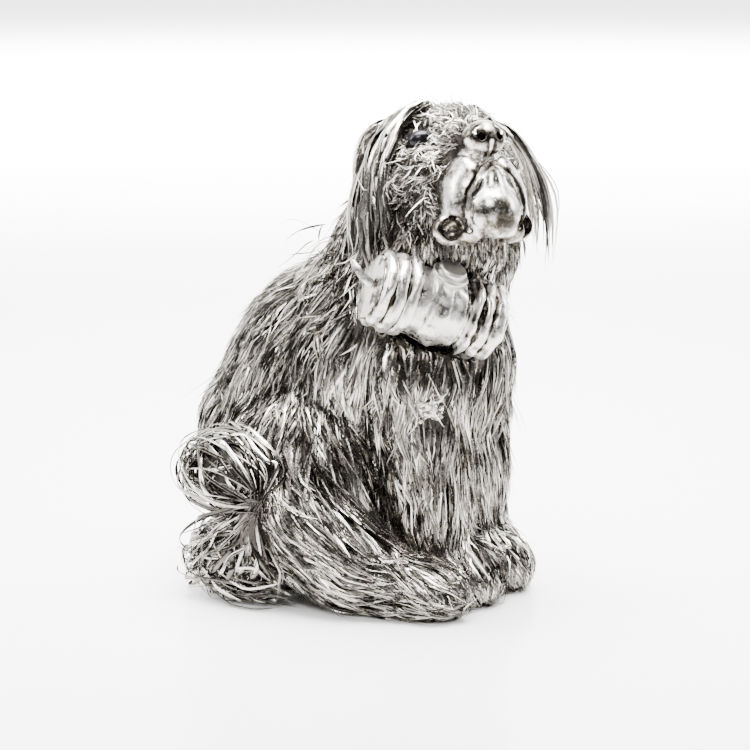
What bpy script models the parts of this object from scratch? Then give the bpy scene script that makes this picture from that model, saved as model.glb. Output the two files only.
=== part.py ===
"""A seated long-haired dog in silver, 130 mm tall, with a small keg slung at its throat.

The coat is built of strips soldered on a hollow core. The muzzle and the keg are polished castings
let into that coat, the ears and the tail are bundles of longer ribbon, and the eyes are dark stones.
Metres, +Z up. The dog sits facing -Y, its own right side is -X, and the origin lies on the flat
underside that it rests on.
"""

import math

import bmesh
import bpy
import numpy as np
from mathutils import Matrix, Vector
from mathutils.bvhtree import BVHTree
from mathutils.kdtree import KDTree

# Driving dimensions of the figure
FIGURE_HEIGHT = 0.130
UNIT = FIGURE_HEIGHT / 130.0  # free forms are given in this unit, a millimetre at the full height
HEAD_TURN = math.radians(-34.0)  # towards the dog's own right
HEAD_LIFT = math.radians(33.0)
FIT_GAP = 0.0003  # between pieces that touch
SEAT_SWELL = FIT_GAP * 1.5  # how far a piece is swelled before it cuts a seat in another

# The keg, slung under the throat on the dog's right, with its left end hanging lower
KEG_LENGTH = 0.0345
KEG_BELLY_RADIUS = 0.0098
KEG_END_RADIUS = 0.0082
KEG_CHIME_DEPTH = 0.0003
HOOP_WIDTH = 0.0031
HOOP_HEIGHT = 0.0013
HOOP_PLACES = (-0.445, -0.35, -0.25, 0.25, 0.35, 0.445)  # from the keg's middle, as shares of its length
KEG_SIDES = 20
BUNG_SIDES = 14
KEG_TURN = math.radians(-43.0)
KEG_TILT = math.radians(19.0)
BUNG_RADIUS = 0.0038
BUNG_FLANGE_RADIUS = 0.0049
BUNG_FLANGE_HEIGHT = 0.0009
BUNG_HEIGHT = 0.0027  # above the keg's belly
BUNG_DEPTH = 0.0012  # below it
BUNG_LEAN = math.radians(28.0)  # forwards from the top of the keg

# The strap that the keg hangs from
STRAP_WIDTH = 0.0030
STRAP_THICKNESS = 0.0008

# The eye stones, and the tab on the chest
EYE_RADIUS = 0.0032
TAB_LENGTH = 0.0100
TAB_WIDTH = 0.0060
TAB_THICKNESS = 0.0008

# Locks raised on the coat
LOCK_LENGTH = 0.0150
LOCK_WIDTH = 0.0062
LOCK_HEIGHT = 0.0015
LOCK_SPACING = 0.0075
LOCKS_NEAR = 9  # how many locks may overlap at a place

# Ribbons of the ears and the tail
RIBBON_RADIUS = 0.0011
EAR_RIBBONS = 9
EAR_BREADTH = 0.0125
RIGHT_EAR_FLARE = 0.0054
LEFT_EAR_FLARE = 0.0096  # blown further out
TAIL_RIBBONS = 16

# Fineness of the fused forms
COAT_VOXEL = 0.0011
RIBBON_VOXEL = 0.00055
MUZZLE_VOXEL = 0.0005
COAT_TRIANGLES = 3600
MUZZLE_TRIANGLES = 1000
EAR_TRIANGLES = 420
TAIL_TRIANGLES = 600

SILVER = ((0.74, 0.72, 0.69, 1.0), 0.32, 1.0)
POLISHED = ((0.86, 0.85, 0.82, 1.0), 0.14, 1.0)
STONE = ((0.015, 0.016, 0.022, 1.0), 0.08, 0.0)


def units(x, y, z):
    """A point or a direction given in units of the figure."""
    return Vector((x, y, z)) * UNIT


# The head's own frame starts at the middle of the nose: x to the dog's left, y forwards, z up
NOSE = units(-15.5, -43.8, 122.7)
HEAD_ROTATION = Matrix.Rotation(HEAD_TURN, 3, "Z") @ Matrix.Rotation(-HEAD_LIFT, 3, "X")
HEAD_AXES = HEAD_ROTATION @ Matrix(((1, 0, 0), (0, -1, 0), (0, 0, 1)))


def head_point(side, ahead, above):
    """A point in the head's frame, in units, as a point of the figure."""
    return NOSE + HEAD_AXES @ units(side, ahead, above)


def head_way(side, ahead, above):
    """A direction in the head's frame as a direction of the figure."""
    return (HEAD_AXES @ Vector((side, ahead, above))).normalized()


def clear_scene():
    for found in list(bpy.data.objects):
        bpy.data.objects.remove(found, do_unlink=True)


def collection(name, shown=True):
    made = bpy.data.collections.new(name)
    bpy.context.scene.collection.children.link(made)
    made.hide_render = not shown
    return made


def material(name, finish):
    colour, roughness, metallic = finish
    made = bpy.data.materials.new(name)
    made.use_nodes = True
    shader = made.node_tree.nodes["Principled BSDF"]
    shader.inputs["Base Color"].default_value = colour
    shader.inputs["Roughness"].default_value = roughness
    shader.inputs["Metallic"].default_value = metallic
    made.diffuse_color = colour
    return made


def add_ball(form, centre, radii, turn=None, detail=16):
    """An ellipsoid added to a form. turn is the rotation of its radii, or None."""
    place = Matrix.Translation(centre)
    if turn is not None:
        place = place @ turn.to_4x4()
    place = place @ Matrix.Diagonal((*radii, 1.0))
    bmesh.ops.create_uvsphere(form, u_segments=detail, v_segments=detail // 2, radius=1.0, matrix=place)


def add_limb(form, points, radii, detail=14):
    """A tapering limb through the points, with a ball at each."""
    for (a, b), (ra, rb) in zip(zip(points, points[1:]), zip(radii, radii[1:])):
        way = b - a
        place = Matrix.Translation((a + b) / 2) @ way.to_track_quat("Z", "Y").to_matrix().to_4x4()
        bmesh.ops.create_cone(form, cap_ends=True, segments=detail, radius1=ra, radius2=rb,
                              depth=way.length, matrix=place)
    for point, radius in zip(points, radii):
        add_ball(form, point, (radius, radius, radius), detail=detail)


def object_of(form, name, home, hidden=False):
    """The finished bmesh as an object in a collection."""
    mesh = bpy.data.meshes.new(name)
    form.to_mesh(mesh)
    form.free()
    made = bpy.data.objects.new(name, mesh)
    home.objects.link(made)
    made.hide_render = hidden
    if hidden:
        made.display_type = "WIRE"
    return made


def apply_all(obj):
    """The object's mesh as its modifiers leave it."""
    graph = bpy.context.evaluated_depsgraph_get()
    mesh = bpy.data.meshes.new_from_object(obj.evaluated_get(graph))
    obj.modifiers.clear()
    old = obj.data
    obj.data = mesh
    mesh.name = obj.name
    if old.users == 0:
        bpy.data.meshes.remove(old)
    return obj


def fuse(obj, voxel, rounds=0):
    """Everything in the object becomes one skin, eased by a few rounds of smoothing."""
    remesh = obj.modifiers.new("Fuse", "REMESH")
    remesh.mode = "VOXEL"
    remesh.voxel_size = voxel
    if rounds:
        smooth = obj.modifiers.new("Ease", "SMOOTH")
        smooth.factor = 0.5
        smooth.iterations = rounds
    return apply_all(obj)


def thin_out(obj, triangles):
    """Fewer triangles, kept where the form needs them."""
    graph = bpy.context.evaluated_depsgraph_get()
    mesh = obj.evaluated_get(graph).to_mesh()
    mesh.calc_loop_triangles()
    share = triangles / max(len(mesh.loop_triangles), 1)
    if share < 1.0:
        decimate = obj.modifiers.new("Thin", "DECIMATE")
        decimate.ratio = share
        decimate.use_collapse_triangulate = True
    return apply_all(obj)


def swelled(obj, home, by=SEAT_SWELL):
    """A hidden copy of a piece, swelled so that its seat is cut with room around it."""
    graph = bpy.context.evaluated_depsgraph_get()
    mesh = bpy.data.meshes.new_from_object(obj.evaluated_get(graph))
    cutter = bpy.data.objects.new(obj.name + "_cutter", mesh)
    home.objects.link(cutter)
    cutter.matrix_world = obj.matrix_world.copy()
    cutter.hide_render = True
    cutter.display_type = "WIRE"
    displace = cutter.modifiers.new("Swell", "DISPLACE")
    displace.mid_level = 0.0
    displace.strength = by
    return cutter


def cut(obj, cutter, name):
    boolean = obj.modifiers.new(name, "BOOLEAN")
    boolean.operation = "DIFFERENCE"
    boolean.solver = "EXACT"
    boolean.object = cutter


def keep_largest(obj):
    """Drops the crumbs that a cut leaves beside the main body of a piece."""
    form = bmesh.new()
    form.from_mesh(obj.data)
    form.verts.ensure_lookup_table()
    left, bodies = set(form.verts), []
    while left:
        start = left.pop()
        body, edge = {start}, [start]
        while edge:
            for link in edge.pop().link_edges:
                for vert in link.verts:
                    if vert in left:
                        left.discard(vert)
                        body.add(vert)
                        edge.append(vert)
        bodies.append(body)
    bodies.sort(key=len)
    bmesh.ops.delete(form, geom=[vert for body in bodies[:-1] for vert in body], context="VERTS")
    form.to_mesh(obj.data)
    form.free()


# The lie of the coat: at each place, in units, the way that the hair runs. The right side is given,
# and the left is its mirror image. The head's own places follow in the head's frame.
COAT_GUIDES = [
    ((0, 10, 90), (0, 0.8, -0.6)), ((0, 30, 78), (0, 0.65, -0.75)), ((0, 48, 55), (0, 0.3, -0.95)),
    ((0, 56, 30), (0, 0.1, -1)), ((-24, 0, 78), (-0.1, 0.55, -0.85)), ((-28, 20, 62), (-0.1, 0.5, -0.85)),
    ((-28, 36, 50), (-0.1, 0.3, -0.95)), ((-26, -8, 60), (-0.1, 0.2, -1)), ((-20, -10, 38), (0, 0, -1)),
    ((-29, 8, 46), (-0.2, -0.1, -1)), ((-38, 25, 40), (-0.1, -0.3, -0.95)), ((-40, 12, 25), (0, -0.6, -0.8)),
    ((-38, -5, 16), (0, -0.9, -0.45)), ((-34, -25, 9), (0, -1, -0.15)), ((-30, -42, 6), (0.2, -1, -0.3)),
    ((-41, 10, 5), (0, -1, 0)), ((-38, 32, 10), (0, -0.7, -0.5)), ((-13, -38, 50), (0, 0, -1)),
    ((-14, -30, 25), (0, 0, -1)), ((-12, -41, 18), (0, -0.35, -1)), ((-11, -49, 10), (0, -0.8, -0.7)),
    ((-10, -53, 4), (0, -0.3, -1)), ((0, -45, 62), (0, 0, -1)), ((-15, -38, 74), (-0.1, 0.1, -1)),
    ((-18, -24, 90), (-0.3, 0.25, -0.9)), ((-14, -4, 100), (-0.2, 0.5, -0.85)),
]
HEAD_GUIDES = [
    ((0, -20, 20), (0, -1, 0.4)), ((0, -36, 16), (0, -1, -0.6)), ((-12, -20, 8), (-0.6, -0.8, 0)),
    ((-14, -18, -4), (-0.5, -0.6, -0.6)), ((-12, -16, -14), (-0.3, -0.4, -0.9)), ((0, -18, -24), (0, -0.3, -1)),
    ((-16, -34, -4), (-0.2, -0.5, -0.9)), ((0, -8, 8), (0, -1, 0.2)),
]


def lie_of_the_coat():
    """The guides as arrays of places and directions, both sides."""
    places, ways = [], []
    for (x, y, z), way in COAT_GUIDES:
        for side in (1, -1):
            places.append(units(side * x, y, z))
            ways.append(Vector((side * way[0], way[1], way[2])).normalized())
    for (x, y, z), way in HEAD_GUIDES:
        for side in (1, -1):
            places.append(head_point(side * x, y, z))
            ways.append(head_way(side * way[0], way[1], way[2]))
    return np.array(places), np.array(ways)


def way_at(points, normals, guides, reach=0.012):
    """The way the hair runs at each point, laid in the surface."""
    places, ways = guides
    gap = ((points[:, None, :] - places[None, :, :]) ** 2).sum(axis=2)
    weight = 1.0 / (gap + (0.25 * reach) ** 2) ** 1.5
    way = weight @ ways
    way -= normals * (way * normals).sum(axis=1, keepdims=True)
    length = np.linalg.norm(way, axis=1, keepdims=True)
    return way / np.maximum(length, 1e-9)


def mesh_arrays(mesh):
    """A mesh's vertex places and normals as arrays."""
    places = np.empty(len(mesh.vertices) * 3, np.float32)
    normals = np.empty(len(mesh.vertices) * 3, np.float32)
    mesh.vertices.foreach_get("co", places)
    mesh.vertices.foreach_get("normal", normals)
    return places.reshape(-1, 3).astype(float), normals.reshape(-1, 3).astype(float)


def spread_roots(places, spacing):
    """Indices of places picked in a seeded random order, none nearer than spacing to another."""
    roots = []
    for index in np.random.default_rng(7).permutation(len(places)):
        if not roots or ((places[roots] - places[index]) ** 2).sum(axis=1).min() > spacing**2:
            roots.append(int(index))
    return roots


def raise_locks(obj):
    """Raises overlapping locks on the coat, each one low at its root and full just before its tip."""
    mesh = obj.data
    places, normals = mesh_arrays(mesh)
    roots = spread_roots(places, LOCK_SPACING)
    tree = KDTree(len(roots))
    for number, index in enumerate(roots):
        tree.insert(places[index], number)
    tree.balance()
    root_places, root_normals = places[roots], normals[roots]
    ways = way_at(root_places, root_normals, lie_of_the_coat())
    across = np.cross(root_normals, ways)
    near = np.array([[found[1] for found in tree.find_n(place, LOCKS_NEAR)] for place in places])
    height = np.zeros(len(places))
    for lock in near.T:
        offset = places - root_places[lock]
        along = (offset * ways[lock]).sum(axis=1) / LOCK_LENGTH + 0.35
        aside = (offset * across[lock]).sum(axis=1) / (LOCK_WIDTH / 2)
        taper = 1.15 - 0.75 * np.clip(along, 0, 1)
        crown = np.clip(1 - (aside / taper) ** 2, 0, 1)
        swell = np.clip(along * 1.5, 0, 1) * np.clip((1 - along) * 6, 0, 1)
        height = np.maximum(height, crown * swell)
    places += normals * (height * LOCK_HEIGHT)[:, None]
    mesh.vertices.foreach_set("co", places.astype(np.float32).ravel())
    mesh.update()


def coat_masses():
    """The big masses under the coat: trunk, neck, head, legs and paws."""
    form = bmesh.new()
    head = HEAD_ROTATION
    skull = head_point(0, -24, -1)
    add_ball(form, units(0, 27, 34), units(27, 22, 30))
    add_limb(form, [units(0, 26, 38), units(0, 9, 58), units(-1, -12, 71)],
             [24 * UNIT, 28 * UNIT, 26 * UNIT])
    add_ball(form, units(-1, -19, 62), units(23, 22, 25))
    add_ball(form, units(0, 2, 26), units(19, 32, 30))
    add_limb(form, [units(-2, -12, 77), units(-3, -16, 94), skull], [23 * UNIT, 19 * UNIT, 17 * UNIT])
    add_ball(form, units(7, -28, 90), units(12, 11, 14))
    add_ball(form, skull, units(18, 18, 17), head)
    add_ball(form, head_point(0, -24, 8.5), units(15.5, 13, 11.5), head)
    add_ball(form, head_point(0, -16, 7), units(7.5, 11, 8.5), head)
    add_ball(form, head_point(0, -17, -5), units(14, 10, 13), head)
    add_ball(form, head_point(0, -9, 2.5), units(7, 8.5, 5), head)
    add_ball(form, head_point(0, -27, -17), units(12, 10, 8), head)
    for side in (-1, 1):
        add_limb(form, [units(side * 12, -20, 62), units(side * 9, -25, 34), units(side * 8, -25, 9)],
                 [14.2 * UNIT, 11.2 * UNIT, 9.4 * UNIT])
        add_ball(form, units(side * 8, -33, 7), units(9, 12.5, 8.5))
        add_ball(form, units(side * 24, 8, 28), units(15, 22, 25))
        foot = 0 if side < 0 else 12  # the left hind foot is drawn further back
        add_limb(form, [units(side * 28, 4, 22), units(side * 30, foot - 13, 12), units(side * 27, foot - 26, 7)],
                 [16 * UNIT, 11.5 * UNIT, 8 * UNIT])
        add_ball(form, units(side * 25, foot - 30, 6.5), units(9, 14, 7.5))
    return form


def make_ground(cutters):
    """A block under the ground, which cuts flat what stands on it."""
    form = bmesh.new()
    bmesh.ops.create_cube(form, size=2 * FIGURE_HEIGHT, matrix=Matrix.Translation((0.0, 0.0, -FIGURE_HEIGHT)))
    return object_of(form, "Ground_cutter", cutters, hidden=True)


def make_coat(home, ground):
    """The furred dog itself: masses fused, locks raised, the underside cut flat."""
    obj = fuse(object_of(coat_masses(), "furred_body", home), COAT_VOXEL, rounds=6)
    raise_locks(obj)
    thin_out(obj, COAT_TRIANGLES)
    cut(obj, ground, "Flat_underside")
    return apply_all(obj)


def carve(obj, path, width, depth):
    """Sinks a groove of that width and depth into a fine mesh, along the points of a path."""
    mesh = obj.data
    places, normals = mesh_arrays(mesh)
    nearest = np.full(len(places), np.inf)
    for a, b in zip(path, path[1:]):
        a, b = np.array(a), np.array(b)
        run = b - a
        share = np.clip(((places - a) @ run) / (run @ run), 0, 1)
        nearest = np.minimum(nearest, np.linalg.norm(places - a - share[:, None] * run, axis=1))
    sink = np.clip(1 - (nearest / width) ** 2, 0, 1) ** 2
    places -= normals * (sink * depth)[:, None]
    mesh.vertices.foreach_set("co", places.astype(np.float32).ravel())
    mesh.update()


def make_muzzle(home):
    """The polished muzzle: nose, bridge, the two hanging lips and the chin between them."""
    form = bmesh.new()
    turn = HEAD_ROTATION
    add_ball(form, head_point(0, 0, 0), units(5.6, 4.6, 4.5), turn)
    add_ball(form, head_point(0, -12, 0), units(7, 13, 5.5), turn)
    add_ball(form, head_point(0, -4.5, -18), units(7.3, 6.5, 7.2), turn)
    add_ball(form, head_point(0, -13, -17), units(9, 11, 7), turn)
    for side in (-1, 1):
        add_ball(form, head_point(side * 4.2, -7, -9.5), units(4.8, 7.5, 8.5), turn)
        add_ball(form, head_point(side * 7.7, -9.0, -12.8), units(3.6, 6.8, 8.2), turn)
        add_ball(form, head_point(side * 9.6, -12.5, -19.3), units(4.0, 4.2, 4.0), turn)
    obj = fuse(object_of(form, "muzzle", home), MUZZLE_VOXEL, rounds=3)
    rim = [head_point(6.2 * math.sin(a), -1.2, -0.4 - 5.0 * math.cos(a)) for a in np.linspace(-1.9, 1.9, 9)]
    carve(obj, rim, 1.2 * UNIT, 0.9 * UNIT)
    for side in (-1, 1):
        lip = [head_point(side * x, y, z) for x, y, z in
               ((0, 1.5, -5.8), (2.4, 1.5, -8.2), (4.8, 0.5, -11.2), (6.8, -1.0, -14), (7.4, -2.5, -18), (6.6, -4, -22))]
        carve(obj, lip, 1.4 * UNIT, 1.6 * UNIT)
        nostril = [head_point(side * 2.0, 4.2, -1.2), head_point(side * 3.4, 3.6, -0.9)]
        carve(obj, nostril, 1.3 * UNIT, 1.8 * UNIT)
    return thin_out(obj, MUZZLE_TRIANGLES)


def make_eye(side, home):
    """A dark almond stone, let into the face beside the bridge."""
    form = bmesh.new()
    add_ball(form, head_point(side * 9.3, -14.2, 7.8), Vector((1.25, 1.0, 0.85)) * EYE_RADIUS, HEAD_ROTATION, 14)
    return object_of(form, "right_eye" if side < 0 else "left_eye", home)


def smooth_path(points, count):
    """A Catmull-Rom curve through the points, read at even steps of its parameter."""
    ends = [points[0] * 2 - points[1], *points, points[-1] * 2 - points[-2]]
    path = []
    for number in range(count):
        at = number / (count - 1) * (len(points) - 1)
        first = min(int(at), len(points) - 2)
        t = at - first
        a, b, c, d = ends[first:first + 4]
        path.append(0.5 * (2 * b + (c - a) * t + (2 * a - 5 * b + 4 * c - d) * t**2
                           + (3 * b - a - 3 * c + d) * t**3))
    return path


def swept(form, paths, radius, breadth=0.0):
    """Sweeps a round rod, or a band where it has breadth, along each path, thinning to its tip."""
    curve = bpy.data.curves.new("sweep", "CURVE")
    curve.dimensions = "3D"
    curve.bevel_depth = radius
    curve.bevel_resolution = 1
    curve.extrude = breadth / 2
    curve.use_fill_caps = True
    for path in paths:
        spline = curve.splines.new("POLY")
        spline.points.add(len(path) - 1)
        for number, (point, place) in enumerate(zip(spline.points, path)):
            share = number / (len(path) - 1)
            point.co = (*place, 1.0)
            point.radius = 1.0 - 0.45 * share**2
    guide = bpy.data.objects.new("sweep", curve)
    bpy.context.scene.collection.objects.link(guide)
    mesh = bpy.data.meshes.new_from_object(guide.evaluated_get(bpy.context.evaluated_depsgraph_get()))
    form.from_mesh(mesh)
    bpy.data.objects.remove(guide)
    bpy.data.meshes.remove(mesh)
    return form


def ear_paths(side):
    """The ribbons of one ear: out from the crown in an arc, then straight down past the cheek."""
    ahead = Vector((math.sin(HEAD_TURN), -math.cos(HEAD_TURN), 0.0))
    out = Vector((math.cos(HEAD_TURN), math.sin(HEAD_TURN), 0.0)) * side
    flare = RIGHT_EAR_FLARE if side < 0 else LEFT_EAR_FLARE
    paths = []
    for number in range(EAR_RIBBONS):
        share = number / (EAR_RIBBONS - 1) - 0.5
        across = ahead * (EAR_BREADTH * share) - out * (EAR_BREADTH * 0.45 * abs(share - 0.1))
        root = head_point(side * 8, -23, 16) + across * 0.7
        bend = head_point(side * 13, -26, 13) + out * flare + across
        belly = bend + units(0, 0, -14) + out * flare + across * 0.2
        hang = belly + units(0, 0, -14) + out * (1.5 * UNIT)
        tip = hang + units(0, 0, -10 - 5 * math.cos(5.1 * number)) - across * 0.35
        paths.append(smooth_path([root, bend, belly, hang, tip], 14))
    return paths


def make_ear(side, home):
    name = "right_ear" if side < 0 else "left_ear"
    form = swept(bmesh.new(), ear_paths(side), RIBBON_RADIUS)
    return thin_out(fuse(object_of(form, name, home), RIBBON_VOXEL), EAR_TRIANGLES)


def make_tail(home, ground):
    """The tail: a loose curl thrown round to the dog's right, with ribbons wound about it."""
    spine = smooth_path([units(-20, 30, 38), units(-29, 25, 31), units(-34, 23, 19), units(-32, 20, 8)], 12)
    radii = [(8.0 + 4.2 * math.sin(math.pi * (0.12 + 0.62 * n / 11))) * UNIT for n in range(12)]
    form = bmesh.new()
    add_limb(form, spine[::3] + spine[-1:], radii[::3] + radii[-1:])
    paths = []
    for number in range(TAIL_RIBBONS):
        start, climb, way = 2.3 * number, 11 * (number * 0.618 % 1.0), 1 if number % 2 else -1
        path = []
        for step in range(16):
            share = step / 15
            at = min(max(climb + 3.2 * way * (share - 0.5) * math.cos(1.9 * number), 0.0), 10.9)
            low = int(at)
            centre = spine[low].lerp(spine[low + 1], at - low)
            along = (spine[low + 1] - spine[low]).normalized()
            over = along.cross(units(0, 0, 1)).normalized()
            angle = start + way * 3.4 * share
            spoke = over * math.cos(angle) + over.cross(along) * math.sin(angle)
            path.append(centre + spoke * (radii[low] + (0.6 + 0.9 * math.sin(math.pi * share)) * UNIT))
        paths.append(path)
    obj = fuse(object_of(swept(form, paths, RIBBON_RADIUS), "tail", home), RIBBON_VOXEL)
    thin_out(obj, TAIL_TRIANGLES)
    cut(obj, ground, "Flat_underside")
    return apply_all(obj)


def keg_frame(skin):
    """The keg's place against the coat. Its own z runs towards the dog's left, its own y points up."""
    inside = units(-4, -17, 80)
    out = Vector((-math.sin(math.radians(45)), -math.cos(math.radians(45)), 0.0))
    hit = skin.ray_cast(inside, out)[0]
    turn = Matrix.Rotation(KEG_TURN, 4, "Z") @ Matrix.Rotation(KEG_TILT, 4, "Y")
    lay = Matrix.Rotation(math.radians(90), 4, "Y") @ Matrix.Rotation(math.radians(90), 4, "Z")
    return Matrix.Translation(hit + out * (KEG_BELLY_RADIUS * 0.15)) @ turn @ lay


def stave_radius(z):
    """The keg's radius under its hoops, at a place along it from its middle."""
    return KEG_BELLY_RADIUS - (KEG_BELLY_RADIUS - KEG_END_RADIUS) * (2 * z / KEG_LENGTH) ** 2


def keg_outline():
    """The keg's half outline from its left end to its right end: chimes, staves and hoops."""
    half = KEG_LENGTH / 2
    outline = [(0.0, half - KEG_CHIME_DEPTH), (KEG_END_RADIUS * 0.8, half - KEG_CHIME_DEPTH),
               (KEG_END_RADIUS * 0.86, half), (KEG_END_RADIUS, half)]
    for middle in sorted((*HOOP_PLACES, 0.0), reverse=True):
        if middle == 0.0:
            outline += [(stave_radius(z), z) for z in (0.11 * KEG_LENGTH, 0.0, -0.11 * KEG_LENGTH)]
            continue
        for share, rise in ((0.48, 0.0), (0.0, 1.0), (-0.48, 0.0)):
            z = middle * KEG_LENGTH + share * HOOP_WIDTH
            outline.append((stave_radius(z) + rise * HOOP_HEIGHT, z))
    outline += [(KEG_END_RADIUS, -half), (KEG_END_RADIUS * 0.86, -half),
                (KEG_END_RADIUS * 0.8, -half + KEG_CHIME_DEPTH), (0.0, -half + KEG_CHIME_DEPTH)]
    return outline


def turned(name, outline, sides, home):
    """A solid of revolution about its own z, from its half outline, top to bottom."""
    form = bmesh.new()
    ring = [form.verts.new((radius, 0.0, height)) for radius, height in outline]
    for a, b in zip(ring, ring[1:]):
        form.edges.new((a, b))
    obj = object_of(form, name, home)
    screw = obj.modifiers.new("Turn", "SCREW")
    screw.axis = "Z"
    screw.steps = screw.render_steps = sides
    screw.use_merge_vertices = True
    screw.merge_threshold = 0.00001
    return apply_all(obj)


def make_keg(frame, home, cutters):
    """The keg and the bung that stands in the top of it."""
    keg = turned("keg", keg_outline(), KEG_SIDES, home)
    keg.matrix_world = frame
    top = KEG_BELLY_RADIUS + BUNG_HEIGHT
    seat = KEG_BELLY_RADIUS + BUNG_FLANGE_HEIGHT
    foot = KEG_BELLY_RADIUS - BUNG_DEPTH
    outline = [(0.0, top - 0.0002), (BUNG_RADIUS * 0.8, top), (BUNG_RADIUS, top - 0.0006),
               (BUNG_RADIUS, seat + 0.0004), (BUNG_FLANGE_RADIUS * 0.94, seat + 0.0001),
               (BUNG_FLANGE_RADIUS, seat - 0.0004), (BUNG_FLANGE_RADIUS, foot), (0.0, foot)]
    bung = turned("bung", outline, BUNG_SIDES, home)
    bung.matrix_world = frame @ Matrix.Rotation(BUNG_LEAN, 4, "Z") @ Matrix.Rotation(math.radians(-90), 4, "X")
    cut(keg, swelled(bung, cutters), "Bung_hole")
    return keg, bung


def make_keg_clearance(frame, cutters):
    """A hidden plain barrel around the keg and its hoops, which cuts their seat."""
    rise = HOOP_HEIGHT + SEAT_SWELL
    end = KEG_LENGTH / 2 + SEAT_SWELL
    outline = [(stave_radius(z) + rise, z) for z in np.linspace(end, -end, 9)]
    barrel = turned("keg_clearance", [(0.0, end), *outline, (0.0, -end)], KEG_SIDES, cutters)
    barrel.matrix_world = frame
    barrel.hide_render = True
    barrel.display_type = "WIRE"
    return barrel


def make_strap(frame, home):
    """The strap that holds the keg: a blade from its right end, up and back into the coat."""
    start = frame @ Vector((-KEG_END_RADIUS * 0.2, KEG_END_RADIUS * 0.5, 0.0008 - KEG_LENGTH / 2))
    path = [start, start + units(-1.9, 2.4, 2.2), start + units(-2, 5.5, 7), start + units(4, 9, 10)]
    return object_of(swept(bmesh.new(), [smooth_path(path, 10)], STRAP_THICKNESS / 2, STRAP_WIDTH), "strap", home)


def make_tab(skin, home):
    """A small crumpled tab that lies on the chest."""
    inside, out = units(-6, -14, 54), Vector((-0.58, -0.81, 0.0)).normalized()
    hit, normal, _, _ = skin.ray_cast(inside, out)
    form = bmesh.new()
    bmesh.ops.create_grid(form, x_segments=4, y_segments=3, size=0.5)
    for vert in form.verts:
        x, y = vert.co.x * 2, vert.co.y * 2
        narrow = 1 - 0.25 * x * x
        vert.co = Vector((x * TAB_LENGTH / 2, y * narrow * TAB_WIDTH / 2,
                          TAB_THICKNESS * (0.9 * math.sin(3.1 * x + 1.2 * y) - 0.8 * x * x)))
    obj = object_of(form, "chest_tab", home)
    thick = obj.modifiers.new("Thickness", "SOLIDIFY")
    thick.thickness = TAB_THICKNESS
    thick.offset = 0.0
    apply_all(obj)
    stand = normal.to_track_quat("Z", "Y").to_matrix().to_4x4()
    obj.matrix_world = Matrix.Translation(hit + normal * TAB_THICKNESS) @ stand @ Matrix.Rotation(0.25, 4, "Z")
    return obj


def main():
    clear_scene()
    home = collection("Silver_dog")
    cutters = collection("Cutters", shown=False)
    ground = make_ground(cutters)
    coat = make_coat(home, ground)
    skin = BVHTree.FromPolygons([v.co for v in coat.data.vertices], [f.vertices for f in coat.data.polygons])
    frame = keg_frame(skin)
    muzzle = make_muzzle(home)
    eyes = [make_eye(side, home) for side in (-1, 1)]
    ears = [make_ear(side, home) for side in (-1, 1)]
    tail = make_tail(home, ground)
    keg, bung = make_keg(frame, home, cutters)
    strap = make_strap(frame, home)
    tab = make_tab(skin, home)
    coat_cutter = swelled(coat, cutters)
    barrel = make_keg_clearance(frame, cutters)
    cut(strap, barrel, "Keg_clearance")
    cut(strap, swelled(ears[0], cutters), "Ear_clearance")
    for piece in (muzzle, *ears, tail, strap):
        cut(piece, coat_cutter, "Coat_clearance")
        apply_all(piece)
        keep_largest(piece)
    cut(coat, barrel, "Seat_of_keg")
    for piece in (*eyes, bung):
        cut(coat, swelled(piece, cutters), "Seat_of_" + piece.name)
    cut(coat, swelled(tab, cutters, 2 * SEAT_SWELL), "Seat_of_" + tab.name)
    apply_all(coat)
    keep_largest(coat)
    for piece, finish in ((coat, SILVER), (muzzle, POLISHED), (keg, POLISHED), (bung, POLISHED), (strap, POLISHED),
                          (tab, POLISHED), (tail, SILVER), *((ear, SILVER) for ear in ears),
                          *((eye, STONE) for eye in eyes)):
        piece.data.materials.clear()
        piece.data.materials.append(material(piece.name, finish))


main()
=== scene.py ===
"""The looks of a silver dog figurine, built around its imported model.

The coat is thousands of short silver strips laid on a dark core, the ears and the tail are longer
ribbons, and the muzzle and the keg are polished castings. Metres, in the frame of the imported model.
"""

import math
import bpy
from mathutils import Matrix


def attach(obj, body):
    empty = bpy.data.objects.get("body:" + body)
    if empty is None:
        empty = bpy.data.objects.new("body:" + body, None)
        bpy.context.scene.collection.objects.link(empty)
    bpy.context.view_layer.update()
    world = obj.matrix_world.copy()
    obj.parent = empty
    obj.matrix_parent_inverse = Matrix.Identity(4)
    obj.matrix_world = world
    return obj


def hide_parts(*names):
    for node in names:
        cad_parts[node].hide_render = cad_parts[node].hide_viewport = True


bl_info = {
    "name": "Silver dog figurine",
    "version": (1, 0, 0),
    "blender": (4, 5, 0),
    "location": "3D View > Sidebar > Silver dog",
    "description": "Dresses the packed model of a silver dog in strips, ribbons and castings",
    "category": "Object",
}

import bpy
import numpy as np
from bpy.props import FloatProperty, FloatVectorProperty, IntProperty, PointerProperty
from mathutils import Matrix, Vector
from mathutils.bvhtree import BVHTree
from mathutils.kdtree import KDTree

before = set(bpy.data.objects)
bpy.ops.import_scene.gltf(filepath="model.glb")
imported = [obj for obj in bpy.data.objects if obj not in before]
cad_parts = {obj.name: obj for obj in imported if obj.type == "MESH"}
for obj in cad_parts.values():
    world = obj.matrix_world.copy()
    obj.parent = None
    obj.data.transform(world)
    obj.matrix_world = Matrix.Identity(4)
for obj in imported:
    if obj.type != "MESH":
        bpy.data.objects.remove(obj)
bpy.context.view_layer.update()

MM = 0.001
SILVER_SLOT, POLISHED_SLOT, STONE_SLOT = "silver_strip", "polished_silver", "dark_stone"

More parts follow.
